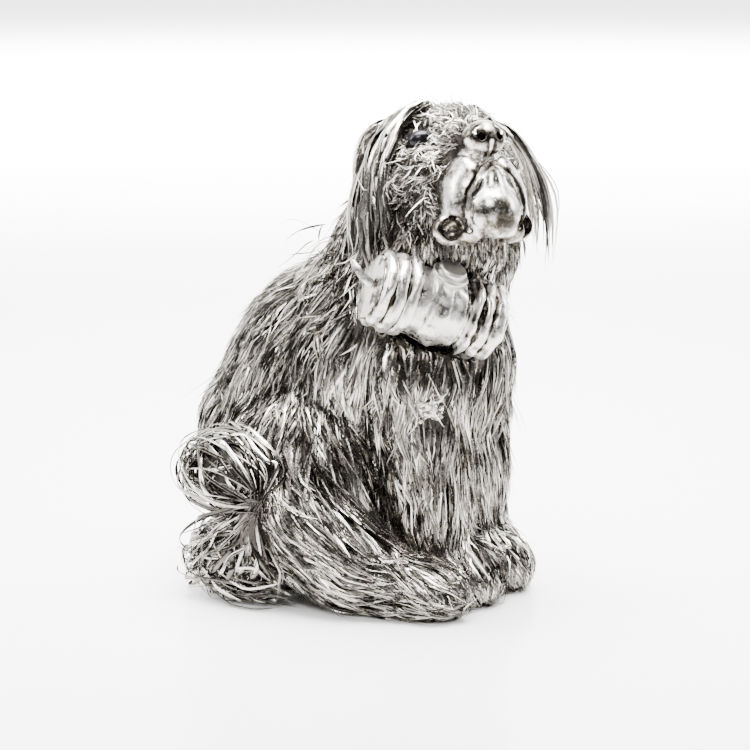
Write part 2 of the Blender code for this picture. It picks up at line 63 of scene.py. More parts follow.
# The head's own frame starts at the middle of the nose: x to the dog's left, y forwards, z up
NOSE = np.array((-15.5, -43.8, 122.7)) * MM
HEAD_TURN, HEAD_LIFT = math.radians(-34.0), math.radians(33.0)
HEAD_AXES = np.array(Matrix.Rotation(HEAD_TURN, 3, "Z") @ Matrix.Rotation(-HEAD_LIFT, 3, "X")
                     @ Matrix.Diagonal((1, -1, 1)))

# The keg's stance as in the model, and its sizes in millimetres
KEG_TURN, KEG_TILT = math.radians(-43.0), math.radians(19.0)
BUNG_LEAN = math.radians(28.0)
KEG_BELLY, KEG_END, HOOP_RISE, HOOP_REACH = 9.8, 8.2, 1.25, 1.5
HOOP_PLACES = (-0.445, -0.35, -0.25, 0.25, 0.35, 0.445)  # from the keg's middle, as shares of its length
KEG_BANDS = ((-7.7, -3.7, -0.35), (-3.7, 1.3, 0.30), (1.6, 5.6, 0.10), (5.9, 8.0, -1.1))  # from, to, rise
# The bung's half outline: reach, and height over the belly
BUNG_OUTLINE = ((0, 2.8), (2.8, 2.7), (3.4, 2.6), (3.75, 2.2), (3.75, 1.7), (3.45, 1.4), (3.6, 1.0), (4.5, 0.9),
                (4.95, 0.55), (4.85, 0.0), (4.3, -0.4), (4.3, -1.0), (0, -1.0))

# The eyes: place in the head's frame, and half widths
EYE_PLACE, EYE_SIZE = (9.3, -14.2, 7.8), (4.0, 3.2, 2.72)

# The muzzle in the head's frame, mirrored from its left half: middles and half widths of its masses, and
# the fillet that joins each to those before it
BRIDGE_AND_LIPS = (
    ((0, -13, -1.5), (6.5, 12, 5.0), 0),
    ((4.2, -7, -9.5), (4.8, 7.3, 8.3), 2.0),
    ((7.5, -9.0, -12.6), (3.6, 6.8, 8.4), 2.2),
    ((0, -15, -12), (9, 11, 9), 2.0),
    ((2.4, -7.2, -5.4), (4.8, 6.2, 4.2), 1.8),
)
CHIN = (
    ((0, -4.8, -17.6), (6.9, 6.5, 6.9), 0),
    ((0, -2.8, -9.6), (3.0, 4.4, 4.2), 4.0),
    ((0, -13, -16), (8.5, 9, 5.2), 1.6),
)
NOSE_AND_CORNERS = (
    ((0, 0, 0.1), (5.8, 4.6, 4.9), 0.35),
    ((6.0, -10.0, -20.4), (4.2, 4.2, 3.4), 1.2),
    ((9.8, -12.5, -18.4), (4.1, 3.8, 4.1), 0.7),
)
CORNER_HOLLOW = (9.6, -9.6, -19.4), (2.9, 3.8, 2.7)
NOSTRIL = (2.5, 4.4, -0.9), (1.05, 2.6, 1.1)
# Painted shade in the hollows at the corners of the mouth and in the nostrils: place, half widths, strength and
# hardness
MUZZLE_HOLLOW_SHADE = ((9.6, -9.6, -19.4, (2.8, 3.7, 2.6), 0.85, 2), (2.5, 3.4, -0.9, (1.0, 2.2, 1.0), 1.3, 4))
# Grooves of the lips, under the nose, round its base and round a nostril, seen from the front: the path,
# the depth, the reach, and how far back each one goes
MUZZLE_GROOVES = (
    (((0, -6.1), (2.2, -8.0), (4.7, -11.0), (6.6, -13.6), (7.6, -17.5), (7.0, -21.3)), 1.0, 0.55, -10),
    (((0, -2.7), (0, -6.3)), 0.7, 0.45, -10),
    (((0, -5.3), (2.6, -4.6), (4.6, -2.9), (5.6, -0.6)), 0.5, 0.5, -10),
    (((2.3, -0.9), (3.3, -0.2), (3.7, 0.8), (3.2, 1.6), (2.2, 1.9)), 0.6, 0.4, 0),
)

# The lie of the coat on the right side: place and way in millimetres, then the length and the lift of
# a strip there in millimetres, and how far strips stray from the way in degrees
COAT_GUIDES = (
    ((0, 10, 90), (0, 0.8, -0.6), 11, 1.0, 16),
    ((0, 30, 78), (0, 0.65, -0.75), 11, 1.0, 14),
    ((0, 48, 55), (0, 0.3, -0.95), 11, 0.9, 14),
    ((0, 56, 30), (0, 0.1, -1), 11, 0.9, 14),
    ((-24, 0, 78), (-0.1, 0.55, -0.85), 11, 1.0, 16),
    ((-28, 20, 62), (-0.1, 0.5, -0.85), 11, 0.9, 14),
    ((-28, 36, 50), (-0.1, 0.3, -0.95), 10, 0.9, 14),
    ((-26, -8, 60), (-0.1, 0.2, -1), 11, 0.9, 14),
    ((-20, -10, 38), (0, 0, -1), 12, 0.8, 12),
    ((-29, 8, 46), (-0.2, -0.1, -1), 10, 0.9, 14),
    ((-38, 25, 40), (-0.1, -0.3, -0.95), 12, 0.8, 10),
    ((-40, 12, 25), (0, -0.6, -0.8), 13, 0.7, 9),
    ((-38, -5, 16), (0, -0.9, -0.45), 13, 0.7, 9),
    ((-34, -25, 9), (0, -1, -0.15), 10, 0.7, 12),
    ((-30, -42, 6), (0.2, -1, -0.3), 7, 0.8, 25),
    ((-41, 10, 5), (0, -1, 0), 8, 0.9, 30),
    ((-38, 32, 10), (0, -0.7, -0.5), 9, 0.9, 25),
    ((-13, -38, 50), (0, 0, -1), 14, 1.0, 10),
    ((-14, -30, 25), (0, 0, -1), 15, 0.8, 8),
    ((-12, -41, 18), (0, -0.35, -1), 12, 0.7, 9),
    ((-11, -49, 10), (0, -0.8, -0.7), 8, 0.7, 14),
    ((-10, -53, 4), (0, -0.3, -1), 5, 0.8, 35),
    ((0, -45, 62), (0, 0, -1), 14, 1.1, 12),
    ((-15, -38, 74), (-0.1, 0.1, -1), 13, 1.0, 12),
    ((-18, -24, 90), (-0.3, 0.25, -0.9), 11, 1.0, 18),
    ((-14, -4, 100), (-0.2, 0.5, -0.85), 11, 1.1, 22),
)
# The same for the head, in its own frame
HEAD_GUIDES = (
    ((0, -18, 20), (0, -1, 0.4), 5, 1.9, 70),
    ((0, -30, 20), (0, -1, -0.1), 6, 1.9, 60),
    ((0, -36, 16), (0, -1, -0.6), 9, 1.4, 30),
    ((-12, -20, 8), (-0.6, -0.8, 0), 4, 1.0, 55),
    ((-14, -18, -4), (-0.5, -0.6, -0.6), 4, 1.1, 60),
    ((-13, -15, -11), (-0.4, -0.4, -0.8), 4.5, 1.0, 50),
    ((-14, -22, -20), (-0.2, -0.4, -0.9), 9, 0.9, 20),
    ((0, -18, -26), (0, -0.3, -1), 11, 1.0, 10),
    ((-16, -34, -4), (-0.2, -0.5, -0.9), 11, 0.9, 14),
    ((-6, -10, 7), (-0.6, -0.8, 0.2), 3.5, 0.9, 60),
)

# Sections of a strip and of a ribbon, as shares of the width
STRIP_SECTION = ((-0.5, 0.12), (0.5, 0.12), (0.0, -0.22))
RIBBON_SECTION = ((-0.5, 0.0), (-0.25, -0.10), (0.25, -0.10), (0.5, 0.0), (0.22, 0.14), (-0.22, 0.14))

# Each ear as curves in millimetres, from its back edge to its front edge
RIGHT_EAR = (
    ((-4, -17, 125.5), (-11, -10.5, 124), (-16.5, -8, 118.5),
     (-20, -7.5, 109), (-21, -8.5, 100), (-22, -10.5, 91)),
    ((-4, -19, 126), (-13, -14, 123), (-19, -12.5, 116),
     (-21.5, -12.5, 107), (-22.5, -13, 97), (-23, -14.5, 85)),
    ((-4, -20.5, 126), (-14, -17.5, 122.5), (-20, -16.5, 115),
     (-22, -17, 106), (-23, -17.5, 96), (-23.5, -17.5, 84)),
    ((-5, -21.5, 126), (-14, -19, 123), (-18.5, -18.5, 118),
     (-20, -19.5, 113), (-20.5, -22, 109), (-19, -24.5, 106)),
)
LEFT_EAR = (
    ((3, -22, 126.5), (14, -24, 123), (21, -26, 115), (25, -28, 106), (26, -30, 96), (25.5, -30, 86)),
    ((4, -25, 126.5), (14, -29, 124), (21.5, -32, 117.5), (26, -35, 108.5), (28, -38, 100), (27.5, -39, 89)),
    ((5, -27, 126), (13, -33, 124.5), (20, -36.5, 118.5), (24, -40, 110), (26.5, -42, 100), (26, -41.5, 84)),
    ((4, -29, 125.5), (10, -35, 123), (14, -38, 116), (16, -40, 107), (17, -41, 97), (17, -41, 82)),
)

# Sharp folds of the tab: waves along it and across it, phase, and depth
TAB_FOLDS = ((4.1, -3.3, 0.4, 0.45), (2.3, 4.9, 2.0, 0.40), (6.0, 3.0, 1.0, 0.16))

# The tail: two loose balls of ribbon, as middles and half widths, and the pinch they spring from
UPPER_CURL = ((-31, 20, 32.5), (12.5, 17.5, 12))
LOWER_CURL = ((-34, 17.5, 10.5), (11, 18, 10.5))
TAIL_PINCH = (-43.2, 5.4, 27.9)
TAIL_FACE = np.array((-0.85, -0.45, 0.25))  # the way that most of its loops face

# Where the coat is darkened with painted shade, as if the head shadowed it, and how far that reaches, in
# millimetres
THROAT, THROAT_REACH = (-18, -27, 96), 12.0

# The level way from the camera past the figure, which the lights and the world follow
FAR = (0.848, 0.530, 0.0)

# Shades that strips and ribbons have between the patina and rubbed silver
COAT_SHADE, EAR_SHADE, TAIL_SHADE = (0.19, 0.176, 0.152), (0.30, 0.28, 0.25), (0.20, 0.186, 0.162)

# Seeds of the random draws, how many loose strips there are, and how far a strip keeps off a casting in
# millimetres
COAT_SEED, NAPE_SEED, CHIN_SEED, EAR_SEED, TAIL_SEED = 11, 17, 19, 20, 31
NAPE_CURLS, CHIN_STRIPS, CASTING_ROOM = 44, 640, 0.12

# Places along a strip or a ribbon
STRIP_STEPS, CURL_STEPS, FRINGE_STEPS, EAR_STEPS, TAIL_STEPS, STRAP_STEPS = 4, 12, 6, 15, 20, 18


def units(points):
    """Points or ways in millimetres, as an array in metres."""
    return np.asarray(points, float) * MM


def head_points(points):
    """Points of the head's frame, in millimetres, as points of the figure."""
    return NOSE + units(points) @ HEAD_AXES.T


def unit_ways(ways):
    """Ways of length one."""
    ways = np.asarray(ways, float)
    return ways / np.maximum(np.linalg.norm(ways, axis=-1, keepdims=True), 1e-12)


# Meshes


def mesh_of(name, places, loops, starts, tones=None):
    """A smooth mesh from flat arrays, with an optional tone for each vertex."""
    mesh = bpy.data.meshes.new(name)
    mesh.vertices.add(len(places))
    mesh.vertices.foreach_set("co", np.asarray(places, np.float32).ravel())
    mesh.loops.add(len(loops))
    mesh.loops.foreach_set("vertex_index", np.asarray(loops, np.int32))
    mesh.polygons.add(len(starts))
    mesh.polygons.foreach_set("loop_start", np.asarray(starts, np.int32))
    mesh.update(calc_edges=True)
    mesh.validate()
    mesh.shade_smooth()
    if tones is not None:
        mesh.set_sharp_from_angle(angle=math.radians(50))
        paint(mesh, tones)
    return mesh


def quad_mesh(name, places, quads):
    """A smooth mesh of quads alone."""
    return mesh_of(name, places, np.asarray(quads).ravel(), np.arange(len(quads)) * 4)


def paint(mesh, tones, lowest=0.0):
    """Stores a tone for each vertex, from 0, dark patina on strips and stain with painted shade on castings, to
    1, bright silver, or lower in a hollow painted in shade.
    """
    tones = np.clip(np.asarray(tones, float), lowest, 1.0)
    shades = np.repeat(tones[:, None], 4, axis=1)
    shades[:, 3] = 1.0
    layer = mesh.color_attributes.new("Tone", "FLOAT_COLOR", "POINT")
    layer.data.foreach_set("color", shades.astype(np.float32).ravel())


def add_piece(name, mesh, finish, slot, *stands_for):
    """A new piece that rides on the body, in its finish, and stands for the CAD nodes named."""
    piece = bpy.data.objects.new(name, mesh)
    bpy.context.scene.collection.objects.link(piece)
    mesh.materials.clear()
    mesh.materials.append(finish)
    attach(piece, "root")
    if stands_for:
        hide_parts(*stands_for)
    return piece


def vertex_arrays(mesh):
    """A mesh's vertex places and normals."""
    found = []
    for key in ("co", "normal"):
        flat = np.empty(len(mesh.vertices) * 3, np.float32)
        mesh.vertices.foreach_get(key, flat)
        found.append(flat.reshape(-1, 3).astype(float))
    return found


def node_places(name):
    """A CAD node's vertex places."""
    return vertex_arrays(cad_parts[name].data)[0]


def bars(name, paths, overs, widths, section, taper, tones):
    """Closed bars of one section, each swept along its path and brought to a point at the tip."""
    count, steps = paths.shape[:2]
    rings, corners = steps - 1, len(section)
    along = unit_ways(np.gradient(paths, axis=1))
    across = unit_ways(np.cross(along, overs))
    over = np.cross(across, along)
    size = (widths[:, None] * np.asarray(taper)[None, :rings])[:, :, None, None]
    aside, above = np.array(section, float).T[:, None, None, :, None]
    ring = (paths[:, :rings, None] + across[:, :rings, None] * aside * size
            + over[:, :rings, None] * above * size)
    places = np.concatenate([ring.reshape(count, -1, 3), paths[:, -1:]], axis=1)
    faces = []
    for row in range(rings - 1):
        for corner in range(corners):
            following = (corner + 1) % corners
            faces.append([row * corners + corner, row * corners + following,
                          (row + 1) * corners + following, (row + 1) * corners + corner])
    last = (rings - 1) * corners
    faces += [[last + corner, last + (corner + 1) % corners, rings * corners] for corner in range(corners)]
    faces.append(list(range(corners))[::-1])
    if signed_volume(places[0], faces) < 0:
        faces = [face[::-1] for face in faces]
    sizes = np.array([len(face) for face in faces])
    loops = np.array([vert for face in faces for vert in face])
    first = np.arange(count) * places.shape[1]
    starts = np.cumsum(sizes) - sizes
    every = np.concatenate([np.repeat(tones[:, :rings], corners, axis=1), tones[:, -1:]], axis=1)
    return mesh_of(name, places.reshape(-1, 3), (loops[None] + first[:, None]).ravel(),
                   (starts[None] + (np.arange(count) * len(loops))[:, None]).ravel(), every.ravel())


def signed_volume(places, faces):
    """The volume that faces enclose, negative where they face inwards."""
    total = 0.0
    for face in faces:
        for second, third in zip(face[1:], face[2:]):
            total += np.dot(places[face[0]], np.cross(places[second], places[third]))
    return total


def read_along(field, at):
    """Each row of a field, read at fractional steps along it."""
    low = np.minimum(at.astype(int), field.shape[1] - 2)
    blend = (at - low)[..., None]
    rows = np.arange(len(field))[:, None]
    return field[rows, low] * (1 - blend) + field[rows, low + 1] * blend


def smooth_path(points, count):
    """A curve through the points, as an array of count places."""
    points = np.asarray(points, float)
    ends = np.vstack([2 * points[0] - points[1], points, 2 * points[-1] - points[-2]])
    at = np.linspace(0, len(points) - 1, count)
    first = np.minimum(at.astype(int), len(points) - 2)
    t = (at - first)[:, None]
    a, b, c, d = (ends[first + step] for step in range(4))
    return 0.5 * (2 * b + (c - a) * t + (2 * a - 5 * b + 4 * c - d) * t**2 + (3 * b - a - 3 * c + d) * t**3)


# Solid forms as distance fields, in millimetres


def ball(at, centre, radii):
    """Distance to an ellipsoid, near enough close to its surface."""
    offset = (at - np.asarray(centre, np.float32)) / np.asarray(radii, np.float32)
    whole = np.linalg.norm(offset, axis=-1)
    slope = np.linalg.norm(offset / np.asarray(radii, np.float32), axis=-1)
    return whole * (whole - 1) / np.maximum(slope, 1e-6)


def joined(a, b, ease):
    """Two forms as one, with a fillet of about that width."""
    share = np.clip(0.5 + 0.5 * (b - a) / ease, 0, 1)
    return b * (1 - share) + a * share - ease * share * (1 - share)


def heaped(at, masses, form=None):
    """Balls joined one after another, to a form where there is one."""
    for middle, half, ease in masses:
        mass = ball(at, middle, half)
        form = mass if form is None else joined(form, mass, ease)
    return form


def hollowed(form, tool, ease):
    """A form with another taken out of it."""
    return -joined(-form, tool, ease)


def path_gap(at, path, columns=(0, 1, 2)):
    """The distance to a path of points, measured in the columns given."""
    nearest = np.full(at.shape[:-1], np.inf, np.float32)
    spot = at[..., list(columns)]
    for a, b in zip(path, path[1:]):
        a, b = np.asarray(a, np.float32), np.asarray(b, np.float32)
        run = b - a
        share = np.clip(((spot - a) @ run) / (run @ run), 0, 1)
        nearest = np.minimum(nearest, np.linalg.norm(spot - a - share[..., None] * run, axis=-1))
    return nearest


def skin_of(shape, low, high, step):
    """The surface of a form within a box, as places and quads. shape gives the distance at each place."""
    axes = [np.arange(a, b, step, dtype=np.float32) for a, b in zip(low, high)]
    field = shape(np.stack(np.meshgrid(*axes, indexing="ij"), axis=-1)).astype(np.float32)
    inside = field < 0
    cells = np.array(field.shape) - 1
    total, hits = np.zeros((*cells, 3), np.float32), np.zeros(cells, np.float32)

    def window(array, corner):
        return array[tuple(slice(c, c + n) for c, n in zip(corner, cells))]

    for axis in range(3):
        others = [a for a in range(3) if a != axis]
        for corner in ((0, 0), (0, 1), (1, 0), (1, 1)):
            start = np.zeros(3, int)
            start[others] = corner
            end = start.copy()
            end[axis] = 1
            a, b = window(field, start), window(field, end)
            crossed = window(inside, start) != window(inside, end)
            hits += crossed
            for column in range(3):
                total[..., column] += crossed * start[column]
            total[..., axis] += np.where(crossed, a / np.where(crossed, a - b, 1), 0)
    active = hits > 0
    number = np.full(tuple(cells), -1, np.int64)
    number[active] = np.arange(int(active.sum()))
    places = (np.argwhere(active) + total[active] / hits[active][:, None]) * step + np.array(low)
    quads = []
    for axis in range(3):
        one, two = (axis + 1) % 3, (axis + 2) % 3
        shifted = [slice(0, -1)] * 3
        near = inside[tuple(shifted)]
        shifted[axis] = slice(1, None)
        edges = np.argwhere(near != inside[tuple(shifted)])
        edges = edges[(edges[:, one] > 0) & (edges[:, two] > 0)]
        ring = []
        for back_one, back_two in ((0, 0), (1, 0), (1, 1), (0, 1)):
            cell = edges.copy()
            cell[:, one] -= back_one
            cell[:, two] -= back_two
            ring.append(number[tuple(cell.T)])
        ring = np.stack(ring, axis=1)
        leaving = near[tuple(edges.T)]
        ring[~leaving] = ring[~leaving][:, ::-1]
        quads.append(ring)
    return places, np.concatenate(quads)


# Materials


def new_finish(name, metallic=0.0):
    """A material, its node tree and its shader."""
    made = bpy.data.materials.new(name)
    made.use_nodes = True
    shader = made.node_tree.nodes["Principled BSDF"]
    shader.inputs["Metallic"].default_value = metallic
    return made, made.node_tree, shader


def node(tree, kind, links=(), **values):
    """A node with its properties or sockets set, and linked from the outputs given."""
    made = tree.nodes.new(kind)
    for key, value in values.items():
        if hasattr(made, key):
            setattr(made, key, value)
        else:
            made.inputs[key.replace("_", " ")].default_value = value
    for socket, source in dict(links).items():
        tree.links.new(source, made.inputs[socket])
    return made


def ramp(tree, source, stops):
    """A colour ramp fed by a value. Each stop is a place and a shade of grey or a colour."""
    made = tree.nodes.new("ShaderNodeValToRGB")
    tree.links.new(source, made.inputs["Fac"])
    elements = made.color_ramp.elements
    while len(elements) < len(stops):
        elements.new(0.5)
    for element, (place, shade) in zip(elements, stops):
        element.position = place
        element.color = (shade, shade, shade, 1) if isinstance(shade, (int, float)) else (*shade, 1)
    return made.outputs["Color"]


def spots(tree, scale, detail=3.0, roughness=0.55, stretch=None):
    """Noise over the piece. scale is in features for each metre."""
    where = tree.nodes.new("ShaderNodeTexCoord").outputs["Object"]
    if stretch:
        where = node(tree, "ShaderNodeMapping", {"Vector": where}, Scale=stretch).outputs["Vector"]
    return node(tree, "ShaderNodeTexNoise", {"Vector": where}, Scale=scale, Detail=detail,
                Roughness=roughness).outputs["Fac"]


def vary(tree, shader, socket, source, *stops):
    """A ramp from a value to one of the shader's sockets."""
    tree.links.new(ramp(tree, source, stops), shader.inputs[socket])


def math_node(tree, operation, *values):
    """One sum on values or sockets."""
    made = tree.nodes.new("ShaderNodeMath")
    made.operation = operation
    for socket, value in zip(made.inputs, values):
        if isinstance(value, (int, float)):
            socket.default_value = value
        else:
            tree.links.new(value, socket)
    return made.outputs[0]


def relief(tree, shader, height, distance, strength=1.0):
    """Bump from a height, in metres."""
    bump = node(tree, "ShaderNodeBump", {"Height": height}, Distance=distance, Strength=strength)
    tree.links.new(bump.outputs["Normal"], shader.inputs["Normal"])


def tone_of(tree):
    """The tone painted on the mesh."""
    found = tree.nodes.new("ShaderNodeAttribute")
    found.attribute_name = "Tone"
    return found.outputs["Fac"]


def strip_silver(name, coat, mid, smooth, rough):
    """Silver strips: patina in the depths, bright where they are rubbed, mottled between."""
    made, tree, shader = new_finish(name, 1.0)
    mottle = math_node(tree, "MULTIPLY_ADD", spots(tree, 700.0, 4.0), 0.5, -0.25)
    tone = math_node(tree, "ADD", tone_of(tree), mottle)
    vary(tree, shader, "Base Color", tone, (0.0, tuple(coat.patina)), (0.5, mid), (1.0, tuple(coat.silver)))
    vary(tree, shader, "Roughness", spots(tree, 1600.0), (0.3, smooth), (0.7, rough))
    relief(tree, shader, spots(tree, 2600.0, 2.0), 0.00006, 0.6)
    return made


def cast_silver(name, casting, smooth, rough, pitting, mottle_scale, wear=1.4, dull=1.0):
    """Polished cast silver: bright on the rounds, darkened with painted shade in the creases, finely pitted."""
    made, tree, shader = new_finish(name, 1.0)
    clouds = spots(tree, mottle_scale, 5.0, 0.65)
    worn = math_node(tree, "MULTIPLY_ADD", clouds, wear, -wear / 2)
    tone = math_node(tree, "ADD", tone_of(tree), worn)
    bright, stain_and_shade = tuple(shade * dull for shade in casting.polish), tuple(casting.stain_and_shade)
    # The stain colour and the near-black below it carry real stains and the painted shade of creases and
    # hollows
    black = tuple(shade * 0.15 for shade in stain_and_shade)
    vary(tree, shader, "Base Color", tone, (0.0, black), (0.25, stain_and_shade), (0.6, bright), (1.0, bright))
    vary(tree, shader, "Roughness", spots(tree, 420.0, 4.0), (0.35, smooth), (0.7, rough))
    where = tree.nodes.new("ShaderNodeTexCoord").outputs["Object"]
    pits = node(tree, "ShaderNodeTexVoronoi", {"Vector": where}, Scale=1500.0, Randomness=1.0)
    deep = ramp(tree, pits.outputs["Distance"], ((0.0, 0.0), (0.22, 1.0)))
    waves = math_node(tree, "MULTIPLY", spots(tree, 260.0, 3.0), 1.0 - pitting)
    relief(tree, shader, math_node(tree, "MULTIPLY_ADD", deep, pitting, waves), 0.0003, 0.5)
    return made


def stone_black(colour):
    """Dark polished stone with faint clouds in it."""
    made, tree, shader = new_finish("dark stone")
    light = tuple(min(1.0, c * 3 + 0.002) for c in colour)
    vary(tree, shader, "Base Color", spots(tree, 500.0, 4.0), (0.4, tuple(colour)), (0.75, light))
    vary(tree, shader, "Roughness", spots(tree, 900.0), (0.3, 0.08), (0.8, 0.2))
    shader.inputs["Specular IOR Level"].default_value = 0.25
    relief(tree, shader, spots(tree, 700.0), 0.0001, 0.2)
    return made


def core_patina(colour):
    """The oxidised core that shows between the strips."""
    made, tree, shader = new_finish("core patina", 1.0)
    lighter = tuple(c * 2.2 for c in colour)
    vary(tree, shader, "Base Color", spots(tree, 600.0, 5.0), (0.35, tuple(colour)), (0.75, lighter))
    vary(tree, shader, "Roughness", spots(tree, 900.0), (0.3, 0.45), (0.7, 0.7))
    relief(tree, shader, spots(tree, 900.0, 3.0, 0.6, (1.0, 1.0, 0.2)), 0.0006, 0.8)
    return made


def floor_white(colour):
    """A pale glossy studio floor."""
    made, tree, shader = new_finish("studio floor")
    pale = tuple(min(1.0, c * 1.02) for c in colour)
    vary(tree, shader, "Base Color", spots(tree, 3.0, 2.0, 0.5), (0.3, tuple(colour)), (0.7, pale))
    shader.inputs["Roughness"].default_value = 0.18
    shader.inputs["Specular IOR Level"].default_value = 0.45
    return made


# The coat


def coat_fields():
    """The guides of both sides as arrays: places, ways, and length, lift and stray."""
    places, ways, facts = [], [], []
    for table, axes, start in ((COAT_GUIDES, np.eye(3), np.zeros(3)), (HEAD_GUIDES, HEAD_AXES, NOSE)):
        for place, way, length, lift, stray in table:
            for side in (1, -1):
                places.append(start + axes @ units((place[0] * side, *place[1:])))
                ways.append(axes @ unit_ways((way[0] * side, *way[1:])))
                facts.append((length * MM, lift * MM, math.radians(stray)))
    return np.array(places), np.array(ways), np.array(facts)


def read_fields(points, fields, reach=0.003):
    """The way and the facts of the coat at each point, from the guides near it."""
    places, ways, facts = fields
    gap = ((points[:, None, :] - places[None, :, :]) ** 2).sum(axis=2)
    weight = 1.0 / (gap + reach**2) ** 1.5
    weight /= weight.sum(axis=1, keepdims=True)
    return weight @ ways, weight @ facts


def turned_about(ways, axes, angles):
    """Ways turned about axes square to them."""
    return ways * np.cos(angles)[:, None] + np.cross(axes, ways) * np.sin(angles)[:, None]


def in_surface(ways, normals):
    """Ways laid in the surface."""
    return unit_ways(ways - normals * (ways * normals).sum(axis=1, keepdims=True))


def nearest_on(tree, points):
    """The nearest place of a surface to each point, and the normal there."""
    found = [tree.find_nearest(point) for point in points.tolist()]
    return np.array([hit[0] for hit in found]), np.array([hit[1] for hit in found])


def lifted_off(tree, paths, gaps):
    """Paths moved out so that every place on them keeps its gap to the surface."""
    points, gaps = paths.reshape(-1, 3), np.broadcast_to(gaps, paths.shape[:2]).ravel()
    places, normals = nearest_on(tree, points)
    height = ((points - places) * normals).sum(axis=1)
    near = np.linalg.norm(points - places, axis=1)
    short = (height < 0) | (near < gaps)
    return np.where(short[:, None], places + normals * gaps[:, None], points).reshape(paths.shape)


def make_core(finish):
    """The core under the strips: the node's skin, remeshed finer and eased."""
    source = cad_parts["furred_body"]
    core = bpy.data.objects.new("coat_core", source.data.copy())
    bpy.context.scene.collection.objects.link(core)
    remesh = core.modifiers.new("Skin", "REMESH")
    remesh.mode = "VOXEL"
    remesh.voxel_size = 1.2 * MM
    ease = core.modifiers.new("Ease", "SMOOTH")
    ease.factor = 0.5
    ease.iterations = 6
    mesh = bpy.data.meshes.new_from_object(core.evaluated_get(bpy.context.evaluated_depsgraph_get()))
    mesh.name = "coat_core"
    mesh.shade_smooth()
    bpy.data.objects.remove(core)
    return add_piece("coat_core", mesh, finish, SILVER_SLOT, "furred_body")


def scatter(mesh, fields, count, rng):
    """Seeded points on a mesh, closer together where the strips are short."""
    mesh.calc_loop_triangles()
    corners = np.empty(len(mesh.loop_triangles) * 3, np.int32)
    mesh.loop_triangles.foreach_get("vertices", corners)
    corners = vertex_arrays(mesh)[0][corners.reshape(-1, 3)]
    area = np.linalg.norm(np.cross(corners[:, 1] - corners[:, 0], corners[:, 2] - corners[:, 0]), axis=1)
    weight = area / read_fields(corners.mean(axis=1), fields)[1][:, 0] ** 0.8
    edge = np.cumsum(weight) / weight.sum()
    picked = np.searchsorted(edge, (np.arange(count) + rng.random(count)) / count)
    u, v = rng.random((2, count))
    fold = u + v > 1
    u[fold], v[fold] = 1 - u[fold], 1 - v[fold]
    a, b, c = corners[picked].transpose(1, 0, 2)
    return a + (b - a) * u[:, None] + (c - a) * v[:, None]


def locks_of(roots, share, rng):
    """Leaders picked among the roots, and for each root the number of the leader nearest to it."""
    leaders = rng.choice(len(roots), int(len(roots) * share), replace=False)
    tops = KDTree(len(leaders))
    for number, leader in enumerate(leaders.tolist()):
        tops.insert(roots[leader], number)
    tops.balance()
    return leaders, np.array([tops.find(root)[1] for root in roots])


def grow_strips(tree, core, count, rng):
    """Strips that run over the core along the lie of the coat: paths, ways they face, locks and widths."""
    fields, steps = coat_fields(), STRIP_STEPS
    roots, normals = nearest_on(tree, scatter(core.data, fields, count, rng))
    keep = (roots[:, 2] > 0.4 * MM) & (casting_gap(roots) > 0.1)
    roots, normals = roots[keep], normals[keep]
    count = len(roots)
    length, lift, stray = read_fields(roots, fields)[1].T
    leaders, lock = locks_of(roots, 0.12, rng)
    locks = len(leaders)
    turn = stray * (rng.normal(0, 0.7, locks)[lock] + rng.normal(0, 0.45, count))
    bend = stray * (rng.normal(0, 0.22, locks)[lock] + rng.normal(0, 0.22, count))
    length = length * rng.uniform(0.85, 1.45, locks)[lock] * rng.uniform(0.75, 1.25, count)
    lift = lift * rng.gamma(4.0, 0.25, count) * rng.uniform(0.6, 1.6, locks)[lock]
    wild = rng.random(count) < 0.025
    length[wild] *= 1.25
    lift[wild] *= rng.uniform(1.8, 3.2, int(wild.sum()))
    bend[wild] *= 2.2
    width = np.clip(length / (10 * MM), 0.5, 1.1) * np.where(wild, 0.6, 1.0)
    place, normal = roots, normals
    paths = np.empty((count, steps, 3))
    overs = np.empty((count, steps, 3))
    for step in range(steps):
        share = step / (steps - 1)
        height = -0.30 * MM + (0.65 * MM) * min(1.0, share * 3) + lift * share**1.4
        paths[:, step] = place + normal * height[:, None]
        overs[:, step] = normal
        if step < steps - 1:
            way = in_surface(read_fields(place, fields)[0], normal)
            way = turned_about(way, normal, turn + bend * step)
            place, normal = nearest_on(tree, place + way * (length / (steps - 1))[:, None])
    pull = (rng.uniform(0.3, 0.85, count)[:, None] * np.linspace(0, 1, steps)[None] ** 1.4)[..., None]
    paths += (paths[leaders][lock] - paths) * pull * ((stray < 0.6) & ~wild)[:, None, None]
    paths[..., 2] = np.maximum(paths[..., 2], 0.25 * MM)
    along = unit_ways(np.gradient(paths, axis=1))
    roll = rng.normal(0, 0.45, (count, 1)) + rng.normal(0, 0.25, locks)[lock][:, None]
    overs = overs * np.cos(roll)[..., None] + np.cross(along, overs) * np.sin(roll)[..., None]
    return paths, overs, lock, width


